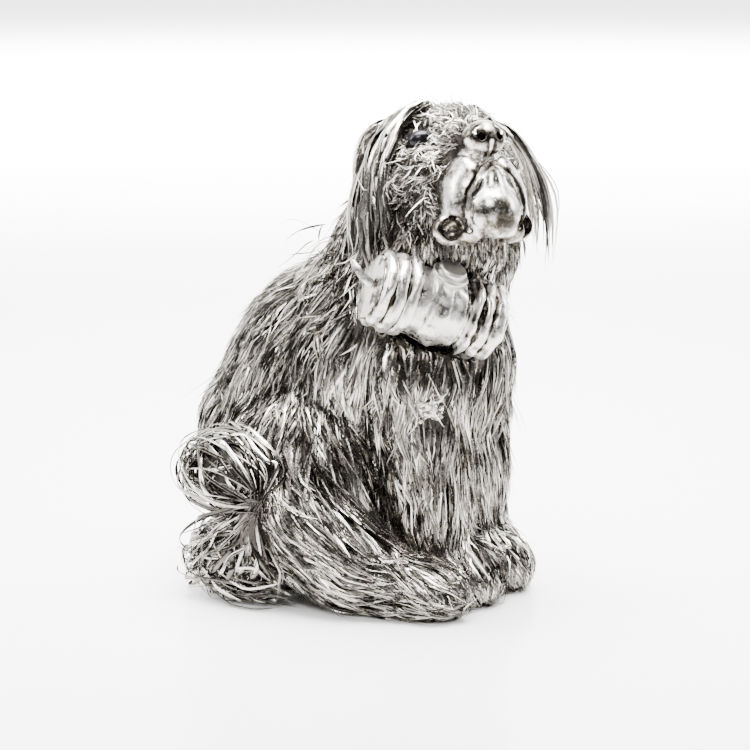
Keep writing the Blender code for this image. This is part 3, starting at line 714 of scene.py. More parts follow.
def casting_gap(points):
    """How far each point is outside the castings and the stones, in millimetres."""
    local = (points - NOSE) @ HEAD_AXES / MM
    gap = np.full(points.shape[:-1], 99.0)
    near = np.linalg.norm(local - (0, -9, -9), axis=-1) < 30
    gap[near] = muzzle_field(local[near])
    for side in (-1, 1):
        gap = np.minimum(gap, ball(local, (side * EYE_PLACE[0], *EYE_PLACE[1:]), EYE_SIZE) + 0.9)
    place, length = keg_place()
    keg = (points - np.array(place.translation)) @ np.array(place.to_3x3()) / MM
    half = length / MM / 2
    belly = KEG_BELLY - (KEG_BELLY - KEG_END) * np.clip(keg[..., 2] / half, -1, 1) ** 2
    round_the_keg = np.linalg.norm(keg[..., :2], axis=-1)
    gap = np.minimum(gap, np.maximum(round_the_keg - belly - HOOP_RISE, np.abs(keg[..., 2]) - half))
    stand = bung_place(place)
    bung = (points - np.array(stand.translation)) @ np.array(stand.to_3x3()) / MM
    rise = bung[..., 2] - KEG_BELLY
    gap = np.minimum(gap, np.maximum(np.linalg.norm(bung[..., :2], axis=-1) - 5.1, np.abs(rise - 1.0) - 2.2))
    centre, axes, half = tab_place()
    gap = np.minimum(gap, ball((points - centre) @ axes.T / MM, (0, 0, 0), (half[0] / MM, half[1] / MM, 1.2)))
    blade, loose = strap_paths(place, length)
    gap = np.minimum(gap, path_gap(points / MM, blade / MM) - 1.7)
    return np.minimum(gap, path_gap(points / MM, loose / MM) - 0.7)


def clear_of(paths, overs, room):
    """Strips cut back to what stays room away from the castings, and which of them are left."""
    steps = paths.shape[1]
    hits = casting_gap(paths) < room
    first_hit = np.where(hits.any(axis=1), hits.argmax(axis=1), steps)
    kept = first_hit >= 1
    share = np.where(first_hit < steps, (first_hit - 0.45) / (steps - 1), 1.0)[kept]
    at = share[:, None] * np.arange(steps)[None]
    return read_along(paths[kept], at), read_along(overs[kept], at), kept


def coat_regions(roots):
    """Splits the coat into pieces by where each strip grows."""
    local = (roots - NOSE) @ HEAD_AXES / MM
    head = (local[:, 1] > -42) & (np.linalg.norm(local - (0, -24, -1), axis=1) < 27)
    x, y, z = roots.T / MM
    front, rest = (y < -6) & ~head, (y >= -6) & ~head
    names = {
        "coat_head": head,
        "coat_breast": front & (z >= 47),
        "coat_forelegs": front & (z < 47),
        "coat_right_shoulder": rest & (x < 0) & (z >= 45),
        "coat_left_shoulder": rest & (x >= 0) & (z >= 45),
        "coat_right_haunch": rest & (x < 0) & (z < 45),
        "coat_left_haunch": rest & (x >= 0) & (z < 45),
    }
    return {name: np.flatnonzero(mask) for name, mask in names.items()}


def strip_tones(count, steps, rng, lock=None, lift=0.0, spread=0.12):
    """Tone along each strip: patina at the root. Some strips are dark, some plain and some rubbed bright."""
    kind = rng.random(count)
    dark, plain, rubbed = (rng.uniform(*span, count) for span in ((0.10, 0.34), (0.42, 0.70), (0.82, 1.05)))
    base = np.select([kind < 0.36, kind < 0.74], [dark, plain], rubbed)
    if lock is not None:
        base += rng.normal(0, spread, lock.max() + 1)[lock]
    along = np.interp(np.linspace(0, 1, steps), (0, 0.25, 0.6, 1), (-0.6, -0.2, 0.03, 0.05))
    return base[:, None] + along[None] + lift


# Sizes and colours that a user would change


class DogCoatSettings(bpy.types.PropertyGroup):
    """Strips of the coat"""

    strip_count: IntProperty(
        name="Strips", description="How many strips the coat has", default=37000, min=2000, max=40000)
    strip_width: FloatProperty(
        name="Strip width", description="Width of a strip of the coat", default=0.48 * MM, unit="LENGTH",
        precision=5)
    patina: FloatVectorProperty(
        name="Patina", description="Colour of the oxidised depths", default=(0.035, 0.031, 0.027),
        subtype="COLOR")
    silver: FloatVectorProperty(
        name="Silver", description="Colour of rubbed silver strip", default=(0.88, 0.845, 0.775),
        subtype="COLOR")


class DogRibbonSettings(bpy.types.PropertyGroup):
    """Ribbons of the ears and the tail"""

    ribbon_width: FloatProperty(
        name="Ribbon width", description="Width of a ribbon", default=1.0 * MM, unit="LENGTH", precision=5)
    ear_ribbons: IntProperty(
        name="Ear ribbons", description="Ribbons in each ear", default=80, min=10, max=200)
    tail_ribbons: IntProperty(
        name="Tail ribbons", description="Ribbons looped over the tail", default=560, min=20, max=700)


class DogCastingSettings(bpy.types.PropertyGroup):
    """The muzzle, the keg and the eyes"""

    muzzle_step: FloatProperty(
        name="Muzzle fineness", description="Grid on which the muzzle is formed", default=0.29 * MM,
        unit="LENGTH", precision=5)
    polish: FloatVectorProperty(
        name="Polish", description="Colour of polished silver", default=(0.90, 0.872, 0.825), subtype="COLOR")
    # This colour is also the painted shade in the castings' creases and hollows
    stain_and_shade: FloatVectorProperty(
        name="Stain", description="Colour of the stains in polished silver", default=(0.15, 0.13, 0.105),
        subtype="COLOR")
    stone: FloatVectorProperty(
        name="Stone", description="Colour of the eye stones", default=(0.004, 0.004, 0.005), subtype="COLOR")


class DogStageSettings(bpy.types.PropertyGroup):
    """Floor and light"""

    floor: FloatVectorProperty(
        name="Floor", description="Colour of the studio floor", default=(0.95, 0.95, 0.95), subtype="COLOR")
    light: FloatProperty(
        name="Light", description="Strength of the studio lights", default=1.0, min=0.0, max=10.0)


# Operators


class DOG_OT_coat(bpy.types.Operator):
    """Lay the core and the strips of the coat"""

    bl_idname = "silver_dog.coat"
    bl_label = "Coat of strips"

    def execute(self, context):
        coat = context.scene.dog_coat
        rng = np.random.default_rng(COAT_SEED)
        core = make_core(core_patina(coat.patina))
        tree = core_tree(core)
        finish = strip_silver("coat strips", coat, COAT_SHADE, 0.14, 0.30)
        count = coat.strip_count
        paths, overs, lock, wide = grow_strips(tree, core, count, rng)
        paths, overs, kept = clear_of(paths, overs, CASTING_ROOM)
        lock, wide = lock[kept], wide[kept]
        widths = coat.strip_width * wide * rng.uniform(0.65, 1.35, len(paths)) * 1.0
        tones = strip_tones(len(paths), STRIP_STEPS, rng, lock)
        # Painted shade: strips near the throat are darkened as if the head shadowed them
        depth = np.linalg.norm(paths[:, 0] / MM - THROAT, axis=1) / THROAT_REACH
        tones -= 0.36 * np.exp(-(depth**2))[:, None]
        for name, chosen in coat_regions(paths[:, 0]).items():
            mesh = bars(name, paths[chosen], overs[chosen], widths[chosen], STRIP_SECTION,
                        (0.85, 1.0, 0.85, 0.2), tones[chosen])
            add_piece(name, mesh, finish, SILVER_SLOT, "furred_body")
        self.curl_nape(tree, finish)
        self.fringe_chin(tree, finish)
        return {"FINISHED"}

    def curl_nape(self, tree, finish):
        """Long thin curls that stray from behind the right ear down over the nape."""
        rng = np.random.default_rng(NAPE_SEED)
        count, steps = NAPE_CURLS, CURL_STEPS
        paths = []
        for _ in range(count):
            root = units((rng.uniform(-24, -12), rng.uniform(-8, 6), rng.uniform(84, 99)))
            way = unit_ways((rng.uniform(-0.6, 0.1), rng.uniform(0.0, 0.7), rng.uniform(-0.9, 0.1)))
            swing = unit_ways(np.cross(way, rng.normal(0, 1, 3)))
            share = np.linspace(0, 1, steps)[:, None]
            long = rng.uniform(7, 14) * MM
            sway = rng.uniform(1.0, 3) * MM * np.sin(share * rng.uniform(2, 5.5) + rng.uniform(0, 6))
            sag = np.array((0, 0, -0.35)) * long * share**2
            paths.append(root + way * long * share + swing * sway + sag)
        gaps = (0.9 + 1.2 * rng.random((count, 1)) * np.sin(np.linspace(0, math.pi, steps))[None]) * MM
        paths = lifted_off(tree, np.array(paths), gaps)
        self.lay_loose("nape_curls", paths, (-0.7, 0.2, 0.6), 0.5 * MM, finish, rng)

    def fringe_chin(self, tree, finish):
        """The hair that hangs from behind the rim of the muzzle, down over the throat."""
        rng = np.random.default_rng(CHIN_SEED)
        count, steps = CHIN_STRIPS, FRINGE_STEPS
        x = rng.uniform(-17, 13, count)
        y = rng.uniform(-18, -9, count) - np.where(np.abs(x) > 6.5, 6.0, 0.0)
        roots = head_points(np.stack([x, y, rng.uniform(-20.5, -18.5, count)], axis=1))
        share = np.linspace(0, 1, steps)[None, :, None]
        long = (rng.uniform(3.0, 6.0, count) * MM)[:, None, None]
        way = unit_ways(rng.normal(0, 0.16, (count, 3)) + (-0.12, -0.08, -1))[:, None]
        paths = roots[:, None] + way * long * share
        paths = lifted_off(tree, paths, (rng.uniform(0.3, 1.8, count) * MM)[:, None])
        paths = paths[(casting_gap(paths[:, steps // 2:]) > 0.1).all(axis=1)]
        self.lay_loose("chin_fringe", paths, (-0.75, -0.5, 0.1), 0.5 * MM, finish, rng)

    def lay_loose(self, name, paths, facing, width, finish, rng):
        """Strips laid along the paths as one piece, facing about the same way."""
        count, steps = paths.shape[:2]
        overs = unit_ways(rng.normal(0, 0.5, (count, 1, 3)) + facing) + np.zeros_like(paths)
        taper = np.interp(np.linspace(0, 1, steps), (0, 0.2, 0.7, 1), (0.5, 1, 0.9, 0.3))
        widths = width * rng.uniform(0.6, 1.4, count)
        mesh = bars(name, paths, overs, widths, STRIP_SECTION, taper, strip_tones(count, steps, rng, lift=0.2))
        add_piece(name, mesh, finish, SILVER_SLOT, "furred_body")


def core_tree(core):
    """A search tree of the core."""
    return BVHTree.FromPolygons([v.co for v in core.data.vertices], [p.vertices for p in core.data.polygons])


def ear_ribbon_paths(curves, count, rng):
    """Ribbons of one ear, in small bundles that run side by side along the ear's curves."""
    steps = EAR_STEPS
    guides = np.array([smooth_path(units(curve), steps) for curve in curves])
    bundles = max(3, count // 4)
    bundle = rng.integers(0, bundles, count)
    spread = (rng.permutation(bundles) + rng.random(bundles)) / bundles * (len(curves) - 1)
    at = np.clip(spread[bundle] + rng.normal(0, 0.05, count), 0, len(curves) - 1.001)
    low = at.astype(int)
    paths = guides[low] + (guides[low + 1] - guides[low]) * (at - low)[:, None, None]
    share = np.linspace(0, 1, steps)
    loose = np.array([smooth_path(rng.normal(0, 0.9, (4, 3)) * MM, steps) for _ in range(bundles)])[bundle]
    own = np.array([smooth_path(rng.normal(0, 0.45, (4, 3)) * MM, steps) for _ in range(count)])
    paths = paths + (loose + own) * (0.8 + 0.6 * share)[None, :, None]
    ends = rng.uniform(0.72, 1.0, count) * (steps - 1)
    return read_along(paths, ends[:, None] * share[None]), bundle


class DOG_OT_ears(bpy.types.Operator):
    """Hang the ribbons of both ears"""

    bl_idname = "silver_dog.ears"
    bl_label = "Ears"

    def execute(self, context):
        ribbons, coat = context.scene.dog_ribbons, context.scene.dog_coat
        finish = strip_silver("ear ribbons", coat, EAR_SHADE, 0.13, 0.28)
        tree = core_tree(bpy.data.objects["coat_core"])
        for side, node_name, curves in ((-1, "right_ear", RIGHT_EAR), (1, "left_ear", LEFT_EAR)):
            rng = np.random.default_rng(EAR_SEED + side)
            paths, bundle = ear_ribbon_paths(curves, ribbons.ear_ribbons, rng)
            count, steps = paths.shape[:2]
            paths = lifted_off(tree, paths, (0.5 + 2.6 * rng.random(count))[:, None] * MM)
            ahead = np.array((math.sin(HEAD_TURN), -math.cos(HEAD_TURN), 0.1))
            out = HEAD_AXES[:, 0] * side * 0.5 + ahead * 0.6
            facing = out + rng.normal(0, 0.35, (bundle.max() + 1, 3))[bundle] + rng.normal(0, 0.2, (count, 3))
            overs = unit_ways(facing)[:, None] + np.zeros_like(paths)
            widths = ribbons.ribbon_width * rng.uniform(0.7, 1.5, count) * (1.35 if side < 0 else 1.0)
            taper = np.interp(np.linspace(0, 1, steps), (0, 0.15, 0.75, 1), (0.7, 1, 1, 0.25))
            tones = strip_tones(count, steps, rng, bundle, 0.08 if side < 0 else 0.22, 0.25)
            mesh = bars(node_name + "_ribbons", paths, overs, widths, RIBBON_SECTION, taper, tones)
            add_piece(mesh.name, mesh, finish, SILVER_SLOT, node_name)
        return {"FINISHED"}


def loop_on(middle, half, start, tilt, azimuth, arc, steps):
    """An arc of a circle drawn on an ellipsoid, from a starting way. tilt is the circle's half angle."""
    side = unit_ways(TAIL_FACE - start * (start @ TAIL_FACE))
    lean = side * math.cos(azimuth) + np.cross(start, side) * math.sin(azimuth)
    axis = start * math.cos(tilt) + lean * math.sin(tilt)
    angles = np.linspace(0, arc, steps)[:, None]
    turned = (start * np.cos(angles) + np.cross(axis, start) * np.sin(angles)
              + axis * (axis @ start) * (1 - np.cos(angles)))
    return middle + turned * half


def tail_ribbon_paths(count, rng):
    """Ribbons looped over two loose balls, most of them from one pinch, and a few swept out along the floor."""
    pinch, steps = units(TAIL_PINCH), TAIL_STEPS
    curls = [(units(middle), units(half)) for middle, half in (UPPER_CURL, LOWER_CURL)]
    paths = []
    for _ in range(count):
        kind = rng.random()
        upper = kind < 0.58
        middle, half = curls[0 if upper else 1]
        size = rng.uniform(0.70, 1.06) * (1.16 if rng.random() < 0.07 else 1.0)
        from_pinch = kind < 0.40 or 0.58 <= kind < 0.82
        start = unit_ways((pinch - middle) / half) if from_pinch else unit_ways(rng.normal(0, 1, 3))
        start = unit_ways(start + rng.normal(0, 0.12, 3))
        tilt = rng.uniform(0.85, 1.5) if upper else rng.uniform(1.1, 1.57)
        azimuth = rng.normal(0, 0.7) if upper else rng.uniform(0, 2 * math.pi)
        arc = (rng.uniform(2.4, 5.0) if upper else rng.uniform(1.2, 2.6)) * rng.choice((-1, 1))
        path = loop_on(middle, half * size, start, tilt, azimuth, arc, steps)
        path = path + smooth_path(rng.normal(0, 1.2, (5, 3)) * MM, steps)
        if from_pinch:
            ease = np.exp(-np.linspace(0, 5, steps))[:, None]
            path = path + (pinch + rng.normal(0, 1.0, 3) * MM - path[0]) * ease
        paths.append(path)
    for _ in range(count // 9):
        start = units((rng.uniform(-44, -34), rng.uniform(18, 34), rng.uniform(3, 13)))
        reach = rng.uniform(0.3, 0.75)
        stops = [start, start + units((-3, -8, -4)) * reach, start + units((-3, -20, -7)) * reach,
                 start + units((0, -32, -9)) * reach]
        paths.append(smooth_path(stops + rng.normal(0, 1.2, (4, 3)) * MM, steps))
    return np.array(paths)


class DOG_OT_tail(bpy.types.Operator):
    """Wind the ribbons of the tail"""

    bl_idname = "silver_dog.tail"
    bl_label = "Tail"

    def execute(self, context):
        ribbons, coat = context.scene.dog_ribbons, context.scene.dog_coat
        rng = np.random.default_rng(TAIL_SEED)
        finish = strip_silver("tail ribbons", coat, TAIL_SHADE, 0.12, 0.28)
        paths = tail_ribbon_paths(ribbons.tail_ribbons, rng)
        tree = core_tree(bpy.data.objects["coat_core"])
        lifted = lifted_off(tree, paths, (0.7 + 2.6 * rng.random(len(paths)))[:, None] * MM)
        paths = lifted[np.linalg.norm(lifted - paths, axis=-1).max(axis=1) < 5.5 * MM]
        count, steps = paths.shape[:2]
        paths[:, 1:-1] = 0.5 * paths[:, 1:-1] + 0.25 * (paths[:, :-2] + paths[:, 2:])
        paths[..., 2] = np.maximum(paths[..., 2], 0.6 * MM)
        middles = np.where(paths[..., 2:] > 21 * MM, units(UPPER_CURL[0]), units(LOWER_CURL[0]))
        overs = unit_ways(unit_ways(paths - middles) + rng.normal(0, 0.3, (count, 1, 3)))
        widths = ribbons.ribbon_width * rng.uniform(0.45, 1.4, count)
        taper = np.interp(np.linspace(0, 1, steps), (0, 0.12, 0.8, 1), (0.4, 1, 1, 0.25))
        tones = strip_tones(count, steps, rng, lift=-0.06)
        mesh = bars("tail_ribbons", paths, overs, widths, RIBBON_SECTION, taper, tones)
        add_piece("tail_ribbons", mesh, finish, SILVER_SLOT, "tail")
        places, quads = skin_of(tail_core_field, (-45.0, 0.0, -1.0), (-15.0, 45.0, 48.0), 0.9)
        core = quad_mesh("tail_core", units(places), quads)
        add_piece("tail_core", core, core_patina(coat.patina), SILVER_SLOT, "tail")
        return {"FINISHED"}


def tail_core_field(at):
    """The dark core that the tail's ribbons hide, cut flat under the tail."""
    balls = [ball(at, middle, np.array(half) - 3.6) for middle, half in (UPPER_CURL, LOWER_CURL)]
    return np.maximum(joined(*balls, 6.0), 1.0 - at[..., 2])


def muzzle_field(at):
    """The muzzle as a distance field: nose, bridge, hanging lips, chin and the corners of the mouth."""
    mirrored = np.array(at)
    mirrored[..., 0] = np.abs(mirrored[..., 0])
    form = joined(heaped(mirrored, BRIDGE_AND_LIPS), heaped(mirrored, CHIN), 0.4)
    form = hollowed(heaped(mirrored, NOSE_AND_CORNERS, form), ball(mirrored, *CORNER_HOLLOW), 0.5)
    for path, depth, reach, back in MUZZLE_GROOVES:
        gap = path_gap(mirrored, path, (0, 2))
        form = form + (mirrored[..., 1] > back) * depth * np.exp(-((gap / reach) ** 2))
    return hollowed(form, ball(mirrored, *NOSTRIL), 0.35)


class DOG_OT_muzzle(bpy.types.Operator):
    """Cast the polished muzzle"""

    bl_idname = "silver_dog.muzzle"
    bl_label = "Muzzle"

    def execute(self, context):
        casting = context.scene.dog_castings
        step = casting.muzzle_step / MM * 1
        places, quads = skin_of(muzzle_field, (-16.0, -24.0, -28.0), (16.0, 7.5, 7.5), step)
        mesh = quad_mesh("muzzle_casting", head_points(places), quads)
        # Painted shade darkens the muzzle's creases
        tones = np.clip(crease_tones(mesh, 14, 0.07 * MM) - 0.14, 0, 1)
        # Painted shade: a dark band across the underside of the chin
        tones -= 0.5 * np.exp(-(((places[:, 2] + 22.8) / 1.2) ** 2) - (places[:, 0] / 6.0) ** 2)
        # Painted shade: the hollows at the corners of the mouth and the nostrils are darkened
        for side in (-1, 1):
            for x, y, z, half, stain_and_shade, edge in MUZZLE_HOLLOW_SHADE:
                hollow = ball(places, (side * x, y, z), half)
                tones -= stain_and_shade * np.clip(1.0 - edge * hollow, 0, 1)
        paint(mesh, tones, -1.0)
        finish = cast_silver("muzzle silver", casting, 0.16, 0.34, 0.35, 230.0, 2.4)
        add_piece("muzzle_casting", mesh, finish, POLISHED_SLOT, "muzzle")
        return {"FINISHED"}


def crease_tones(mesh, rounds, depth):
    """Bright on rounds and dark in creases, from how far smoothing would move each vertex: painted shade in the
    creases.
    """
    places, normals = vertex_arrays(mesh)
    count = len(places)
    edges = np.empty(len(mesh.edges) * 2, np.int32)
    mesh.edges.foreach_get("vertices", edges)
    a, b = edges.reshape(-1, 2).T
    degree = np.maximum(np.bincount(a, minlength=count) + np.bincount(b, minlength=count), 1)[:, None]
    eased = places.copy()
    for _ in range(rounds):
        total = [np.bincount(a, eased[b, c], count) + np.bincount(b, eased[a, c], count) for c in range(3)]
        eased = 0.5 * eased + 0.5 * np.transpose(total) / degree
    raised = ((places - eased) * normals).sum(axis=1)
    return 0.78 + raised / depth * 0.5


def keg_place():
    """The keg's own frame, read from its node, and its length. z runs to its left end, y up."""
    turn = Matrix.Rotation(KEG_TURN, 4, "Z") @ Matrix.Rotation(KEG_TILT, 4, "Y")
    lay = Matrix.Rotation(math.radians(90), 4, "Y") @ Matrix.Rotation(math.radians(90), 4, "Z")
    axes = np.array((turn @ lay).to_3x3())
    local = node_places("keg") @ axes
    low, high = local.min(axis=0), local.max(axis=0)
    centre = axes @ ((low + high) / 2)
    return Matrix.Translation(centre) @ turn @ lay, (high - low)[2]


def lathe(name, outline, sides, place):
    """A closed turned mesh from a half outline that starts and ends on the axis, top to bottom."""
    outline = np.asarray(outline, float)
    angles = np.linspace(0, 2 * math.pi, sides, endpoint=False)
    middle = outline[1:-1]
    rings = np.stack([middle[:, None, 0] * np.cos(angles), middle[:, None, 0] * np.sin(angles),
                      np.repeat(middle[:, 1:2], sides, axis=1)], axis=-1)
    places = np.vstack([rings.reshape(-1, 3), [(0, 0, outline[0, 1])], [(0, 0, outline[-1, 1])]])
    faces = []
    for row in range(len(middle) - 1):
        for side in range(sides):
            following = (side + 1) % sides
            faces.append((row * sides + side, (row + 1) * sides + side, (row + 1) * sides + following,
                          row * sides + following))
    top, bottom, last = len(places) - 2, len(places) - 1, (len(middle) - 1) * sides
    for side in range(sides):
        following = (side + 1) % sides
        faces.append((side, following, top))
        faces.append((last + following, last + side, bottom))
    sizes = np.array([len(face) for face in faces])
    mesh = mesh_of(name, places, [vert for face in faces for vert in face], np.cumsum(sizes) - sizes)
    mesh.transform(place)
    return mesh


def eased_outline(points, count):
    """An outline read at even steps of its own length, with its corners kept."""
    points = np.asarray(points, float)
    run = np.concatenate([[0], np.cumsum(np.linalg.norm(np.diff(points, axis=0), axis=1))])
    at = np.unique(np.concatenate([np.linspace(0, run[-1], count), run]))
    return np.stack([np.interp(at, run, points[:, column]) for column in (0, 1)], axis=1)


def keg_outline(length):
    """The keg's half outline: three round hoops at each end, a deep gap and flat bands between."""
    half = length / 2
    zs = np.linspace(half, -half, 181)
    radius = KEG_BELLY * MM - (KEG_BELLY - KEG_END) * MM * (zs / half) ** 2
    for share in HOOP_PLACES:
        offset = np.clip((zs - share * length) / (HOOP_REACH * MM), -1, 1)
        radius = radius + HOOP_RISE * MM * np.sqrt(np.maximum(1 - offset**2, 0))
    for low, high, rise in KEG_BANDS:
        middle, reach = (low + high) / 2, (high - low) / 2
        radius = radius + rise * MM / (1 + np.exp((np.abs(zs / MM - middle) - reach) / 0.10))
    end = KEG_END * MM
    dome = [(end * share, half + 0.25 * MM * (1 - share**2)) for share in (0.0, 0.3, 0.6, 0.85, 0.97)]
    return dome + list(zip(radius, zs)) + [(reach, -z) for reach, z in dome[::-1]]


def bung_place(place):
    """The bung's own frame on the keg, with z standing out of the belly."""
    return place @ Matrix.Rotation(BUNG_LEAN, 4, "Z") @ Matrix.Rotation(math.radians(-90), 4, "X")


def strap_paths(place, length):
    """The strap's blade, from the keg's right end up into the coat, and the thin ribbon that hangs from it."""
    start = np.array(place @ Vector((-0.5 * MM, 0.5 * MM, 0.8 * MM - length / 2)))
    blade = start + units([(0, 0, 0), (-1.9, 2.2, 2.0), (-2.6, 4.0, 4.4), (-2.2, 6.0, 6.6)])
    rim = np.array(place @ Vector((KEG_END * MM, 0, -length / 2 - 0.6 * MM)))
    loose = rim + units([(0, 0, 1.5), (-0.5, 0, -3), (-0.8, 0, -9), (-0.4, 0, -15)])
    return smooth_path(blade, STRAP_STEPS), smooth_path(loose, STRAP_STEPS)


class DOG_OT_keg(bpy.types.Operator):
    """Turn the keg, its bung and the strap that holds it"""

    bl_idname = "silver_dog.keg"
    bl_label = "Keg, bung and strap"

    def execute(self, context):
        casting = context.scene.dog_castings
        place, length = keg_place()
        finish = cast_silver("keg silver", casting, 0.22, 0.44, 0.55, 300.0, 2.5)
        keg = lathe("keg_casting", keg_outline(length), 120, place)
        hammer(keg, 0.40 * MM, 3)
        # Painted shade darkens the keg's creases between its hoops and bands
        paint(keg, crease_tones(keg, 10, 0.13 * MM) - 0.16)
        add_piece("keg_casting", keg, finish, POLISHED_SLOT, "keg")
        outline = eased_outline([(reach * MM, (KEG_BELLY + rise) * MM) for reach, rise in BUNG_OUTLINE], 60)
        bung = lathe("bung_casting", outline, 64, bung_place(place))
        hammer(bung, 0.09 * MM, 5)
        # Painted shade darkens the bung's creases
        paint(bung, crease_tones(bung, 8, 0.10 * MM) - 0.14)
        worn = cast_silver("bung silver", casting, 0.36, 0.52, 0.3, 200.0, 1.2, dull=0.8)
        add_piece("bung_casting", bung, worn, POLISHED_SLOT, "bung")
        self.hang(place, length, finish)
        return {"FINISHED"}

    def hang(self, place, length, finish):
        """The strap: a broad blade, and a thin ribbon that hangs beside it."""
        paths = np.array(strap_paths(place, length))
        overs = np.broadcast_to(np.array((-0.85, -0.35, 0.2)), paths.shape)
        section = ((-0.5, 0.0), (-0.3, -0.06), (0.3, -0.06), (0.5, 0.0), (0.3, 0.08), (-0.3, 0.08))
        taper = np.interp(np.linspace(0, 1, STRAP_STEPS), (0, 0.2, 0.7, 1), (0.8, 1, 0.8, 0.3))
        tones = np.full(paths.shape[:2], 0.6)
        mesh = bars("strap_blade", paths, overs, np.array((2.3, 1.1)) * MM, section, taper, tones)
        add_piece("strap_blade", mesh, finish, POLISHED_SLOT, "strap")


def hammer(mesh, depth, seed):
    """Dents a mesh a little, with seeded waves."""
    places, normals = vertex_arrays(mesh)
    rng = np.random.default_rng(seed)
    height = np.zeros(len(places))
    for _ in range(24):
        way = unit_ways(rng.normal(0, 1, 3)) * rng.uniform(400, 1800)
        height += (1.3 - 2 * np.abs(np.sin(places @ way / 2 + rng.uniform(0, 6.3)))) * 700 / np.linalg.norm(way)
    places += normals * (height / 4.0 * depth)[:, None]
    mesh.vertices.foreach_set("co", places.astype(np.float32).ravel())
    mesh.update()


def tab_place():
    """The tab's middle, its own axes, long one first and the one out of the chest last, and its half sizes."""
    places = node_places("chest_tab")
    centre = places.mean(axis=0)
    axes = np.linalg.svd(places - centre)[2]
    if axes[2] @ (-0.58, -0.81, 0) < 0:
        axes[2] = -axes[2]
    local = (places - centre) @ axes.T
    return centre, axes, (local.max(axis=0) - local.min(axis=0)) / 2


class DOG_OT_tab(bpy.types.Operator):
    """Crumple the small tab on the chest"""

    bl_idname = "silver_dog.tab"
    bl_label = "Chest tab"

    def execute(self, context):
        casting = context.scene.dog_castings
        centre, axes, half = tab_place()
        rows, columns = 50, 72
        u, v = np.meshgrid(np.linspace(-1, 1, columns), np.linspace(-1, 1, rows), indexing="ij")
        waist = 1 - 0.3 * u * u + 0.10 * np.sin(7 * u + 1) + 0.06 * np.sin(17 * u)
        reach = 1 + 0.10 * np.sin(5 * v + 2) + 0.05 * np.sin(13 * v)
        folds = 0.55 * np.sin(5.2 * u + 2.4 * v) - 0.5 * u * u
        for waves, slant, phase, depth in TAB_FOLDS:
            folds = folds + depth * (1 - 2 * np.abs(np.sin(waves * u + slant * v + phase)))
        sheet = (centre + (u * reach)[..., None] * half[0] * axes[0]
                 + (v * waist)[..., None] * half[1] * 1.1 * axes[1] + folds[..., None] * 0.8 * MM * axes[2])
        mesh = quad_mesh("chest_tab_foil", *thick_sheet(sheet, axes[2] * 0.2 * MM))
        # Painted shade darkens the creases of the tab's folds
        paint(mesh, crease_tones(mesh, 14, 0.12 * MM) - 0.12)
        finish = cast_silver("tab silver", casting, 0.14, 0.30, 0.05, 300.0)
        add_piece("chest_tab_foil", mesh, finish, POLISHED_SLOT, "chest_tab")
        return {"FINISHED"}


def thick_sheet(grid, lift):
    """A closed sheet about a grid of places, as places and quads. It reaches lift to each side."""
    rows, columns = grid.shape[:2]
    top = (grid + lift).reshape(-1, 3)
    bottom = (grid - lift).reshape(-1, 3)
    at = np.arange(rows * columns).reshape(rows, columns)
    quads = np.stack([at[:-1, :-1], at[1:, :-1], at[1:, 1:], at[:-1, 1:]], axis=-1).reshape(-1, 4)
    edge = np.concatenate([at[:, 0], at[-1, 1:], at[-2::-1, -1], at[0, -2:0:-1]])
    following = np.roll(edge, -1)
    offset = rows * columns
    rim = np.stack([edge, edge + offset, following + offset, following], axis=1)
    faces = np.concatenate([quads, quads[:, ::-1] + offset, rim])
    if np.cross(grid[1, 0] - grid[0, 0], grid[0, 1] - grid[0, 0]) @ lift < 0:
        faces = faces[:, ::-1]
    return np.vstack([top, bottom]), faces


class DOG_OT_eyes(bpy.types.Operator):
    """Set the eye stones"""

    bl_idname = "silver_dog.eyes"
    bl_label = "Eyes"

    def execute(self, context):
        finish = stone_black(tuple(context.scene.dog_castings.stone))
        angles = np.linspace(0, math.pi, 33)
        outline = np.stack([np.sin(angles), np.cos(angles)], axis=1)
        outline[0, 0] = outline[-1, 0] = 0.0
        for side, node_name in ((-1, "right_eye"), (1, "left_eye")):
            centre = head_points((side * EYE_PLACE[0], *EYE_PLACE[1:]))
            turn = Matrix(HEAD_AXES.tolist()).to_4x4()
            size = Matrix.Diagonal((*units(EYE_SIZE), 1.0))
            mesh = lathe(node_name + "_stone", outline, 48, Matrix.Translation(centre) @ turn @ size)
            mesh.flip_normals()
            add_piece(mesh.name, mesh, finish, STONE_SLOT, node_name)
        return {"FINISHED"}


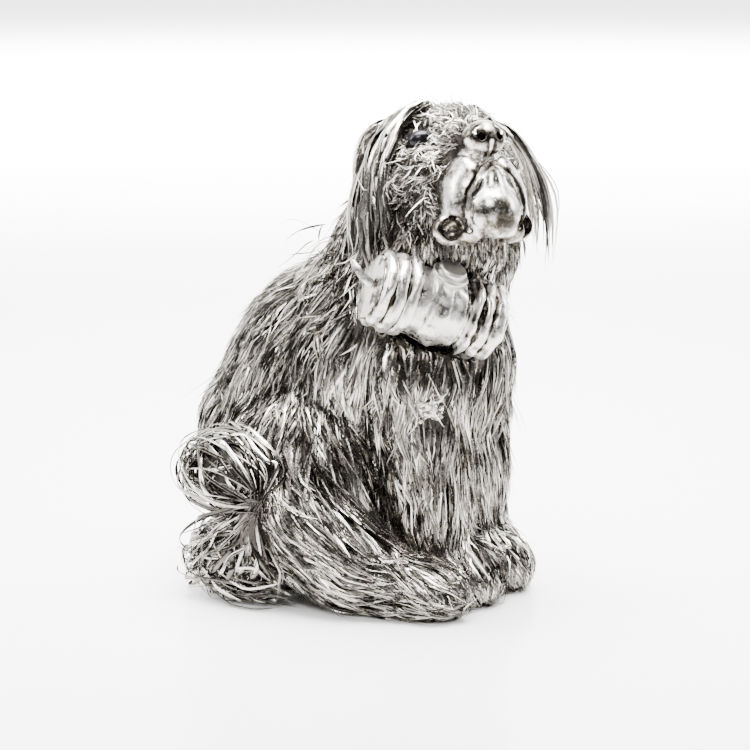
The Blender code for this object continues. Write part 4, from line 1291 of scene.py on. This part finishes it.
class DOG_OT_stage(bpy.types.Operator):
    """Lay the floor and set the lights and the camera"""

    bl_idname = "silver_dog.stage"
    bl_label = "Stage"

    def execute(self, context):
        stage = context.scene.dog_stage
        scene = context.scene
        half = 12.0
        corners = [(-half, -half, 0), (half, -half, 0), (half, half, 0), (-half, half, 0)]
        floor = bpy.data.objects.new("studio_floor", quad_mesh("studio_floor", corners, [(0, 1, 2, 3)]))
        floor.data.materials.append(floor_white(tuple(stage.floor)))
        scene.collection.objects.link(floor)
        self.shine(scene, stage.light)
        self.look(scene)
        return {"FINISHED"}

    def shine(self, scene, strength):
        """A soft box overhead, one for the floor behind, three small ones, and a world dark at the front."""
        far = Vector(FAR)
        figure = Vector((0.0, 0.0, 0.06))
        for name, place, aim, size, spread, power in (
            ("overhead_box", far * 0.14 + Vector((0, 0, 0.62)), far * 0.12, (0.60, 0.60), 70, 10.5),
            ("floor_box", far * 1.9 + Vector((0, 0, 1.6)), far * 2.3, (2.4, 2.4), 100, 800.0),
            ("left_box", Vector((-0.40, 0.57, 0.46)), figure, (0.25, 0.90), 60, 1.4),
            ("right_box", Vector((0.39, -0.56, 0.48)), figure, (0.25, 0.90), 60, 1.4),
            ("front_box", Vector((-0.65, -0.17, 0.80)), figure, (0.40, 0.40), 50, 0.8),
        ):
            light = bpy.data.lights.new(name, "AREA")
            light.shape = "RECTANGLE"
            light.size, light.size_y = size
            light.spread = math.radians(spread)
            light.energy = power * strength
            holder = bpy.data.objects.new(name, light)
            holder.location = place
            holder.rotation_euler = (aim - place).to_track_quat("-Z", "Y").to_euler()
            scene.collection.objects.link(holder)
        world = bpy.data.worlds.new("studio")
        world.use_nodes = True
        scene.world = world
        tree = world.node_tree
        back = tree.nodes["Background"]
        where = tree.nodes.new("ShaderNodeTexCoord").outputs["Generated"]
        behind = tree.nodes.new("ShaderNodeVectorMath")
        behind.operation = "DOT_PRODUCT"
        behind.inputs[1].default_value = FAR
        tree.links.new(where, behind.inputs[0])
        depth = math_node(tree, "MULTIPLY_ADD", behind.outputs["Value"], 0.5, 0.5)
        wall = ramp(tree, depth, ((0.0, 0.015), (0.35, 0.03), (0.55, 0.08), (0.75, 0.38), (1.0, 1.0)))
        split = node(tree, "ShaderNodeSeparateXYZ", {"Vector": where})
        roof = ramp(tree, split.outputs["Z"], ((0.60, 0.0), (0.95, 0.10)))
        shade = math_node(tree, "MAXIMUM", wall, roof)
        tree.links.new(shade, back.inputs["Color"])
        back.inputs["Strength"].default_value = 6.0 * strength

    def look(self, scene):
        """The camera, at the photograph's angle."""
        azimuth, elevation, distance = math.radians(-58.0), math.radians(10.0), 0.600
        target = Vector((0.0, 0.0, 0.066))
        back = Vector((math.sin(azimuth) * math.cos(elevation), -math.cos(azimuth) * math.cos(elevation),
                       math.sin(elevation)))
        data = bpy.data.cameras.new("photo_camera")
        data.lens, data.sensor_width = 106.56, 36.0
        data.shift_x, data.shift_y = 7 / 750, -37 / 750
        data.clip_start, data.clip_end = 0.05, 40.0
        camera = bpy.data.objects.new("photo_camera", data)
        camera.location = target + back * distance
        camera.rotation_euler = (-back).to_track_quat("-Z", "Y").to_euler()
        scene.collection.objects.link(camera)
        scene.camera = camera


class DOG_PT_panel(bpy.types.Panel):
    """Pieces of the silver dog"""

    bl_label = "Silver dog"
    bl_idname = "DOG_PT_panel"
    bl_space_type = "VIEW_3D"
    bl_region_type = "UI"
    bl_category = "Silver dog"

    def draw(self, context):
        layout = self.layout
        for group in (context.scene.dog_coat, context.scene.dog_ribbons, context.scene.dog_castings,
                      context.scene.dog_stage):
            box = layout.box()
            for key in group.__annotations__:
                box.prop(group, key)
        for operator in OPERATORS:
            layout.operator(operator.bl_idname)


SETTINGS = {
    "dog_coat": DogCoatSettings,
    "dog_ribbons": DogRibbonSettings,
    "dog_castings": DogCastingSettings,
    "dog_stage": DogStageSettings,
}
OPERATORS = (DOG_OT_stage, DOG_OT_muzzle, DOG_OT_eyes, DOG_OT_keg, DOG_OT_tab, DOG_OT_coat, DOG_OT_ears,
             DOG_OT_tail)


def register():
    for group in SETTINGS.values():
        bpy.utils.register_class(group)
    for operator in (*OPERATORS, DOG_PT_panel):
        bpy.utils.register_class(operator)
    for key, group in SETTINGS.items():
        setattr(bpy.types.Scene, key, PointerProperty(type=group))


def unregister():
    for key in SETTINGS:
        delattr(bpy.types.Scene, key)
    for made in (DOG_PT_panel, *reversed(OPERATORS), *SETTINGS.values()):
        bpy.utils.unregister_class(made)


def main():
    """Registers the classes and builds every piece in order."""
    register()
    bpy.ops.silver_dog.stage()
    bpy.ops.silver_dog.muzzle()
    bpy.ops.silver_dog.eyes()
    bpy.ops.silver_dog.keg()
    bpy.ops.silver_dog.tab()
    bpy.ops.silver_dog.coat()
    bpy.ops.silver_dog.ears()
    bpy.ops.silver_dog.tail()


if __name__ == "__main__":
    main()
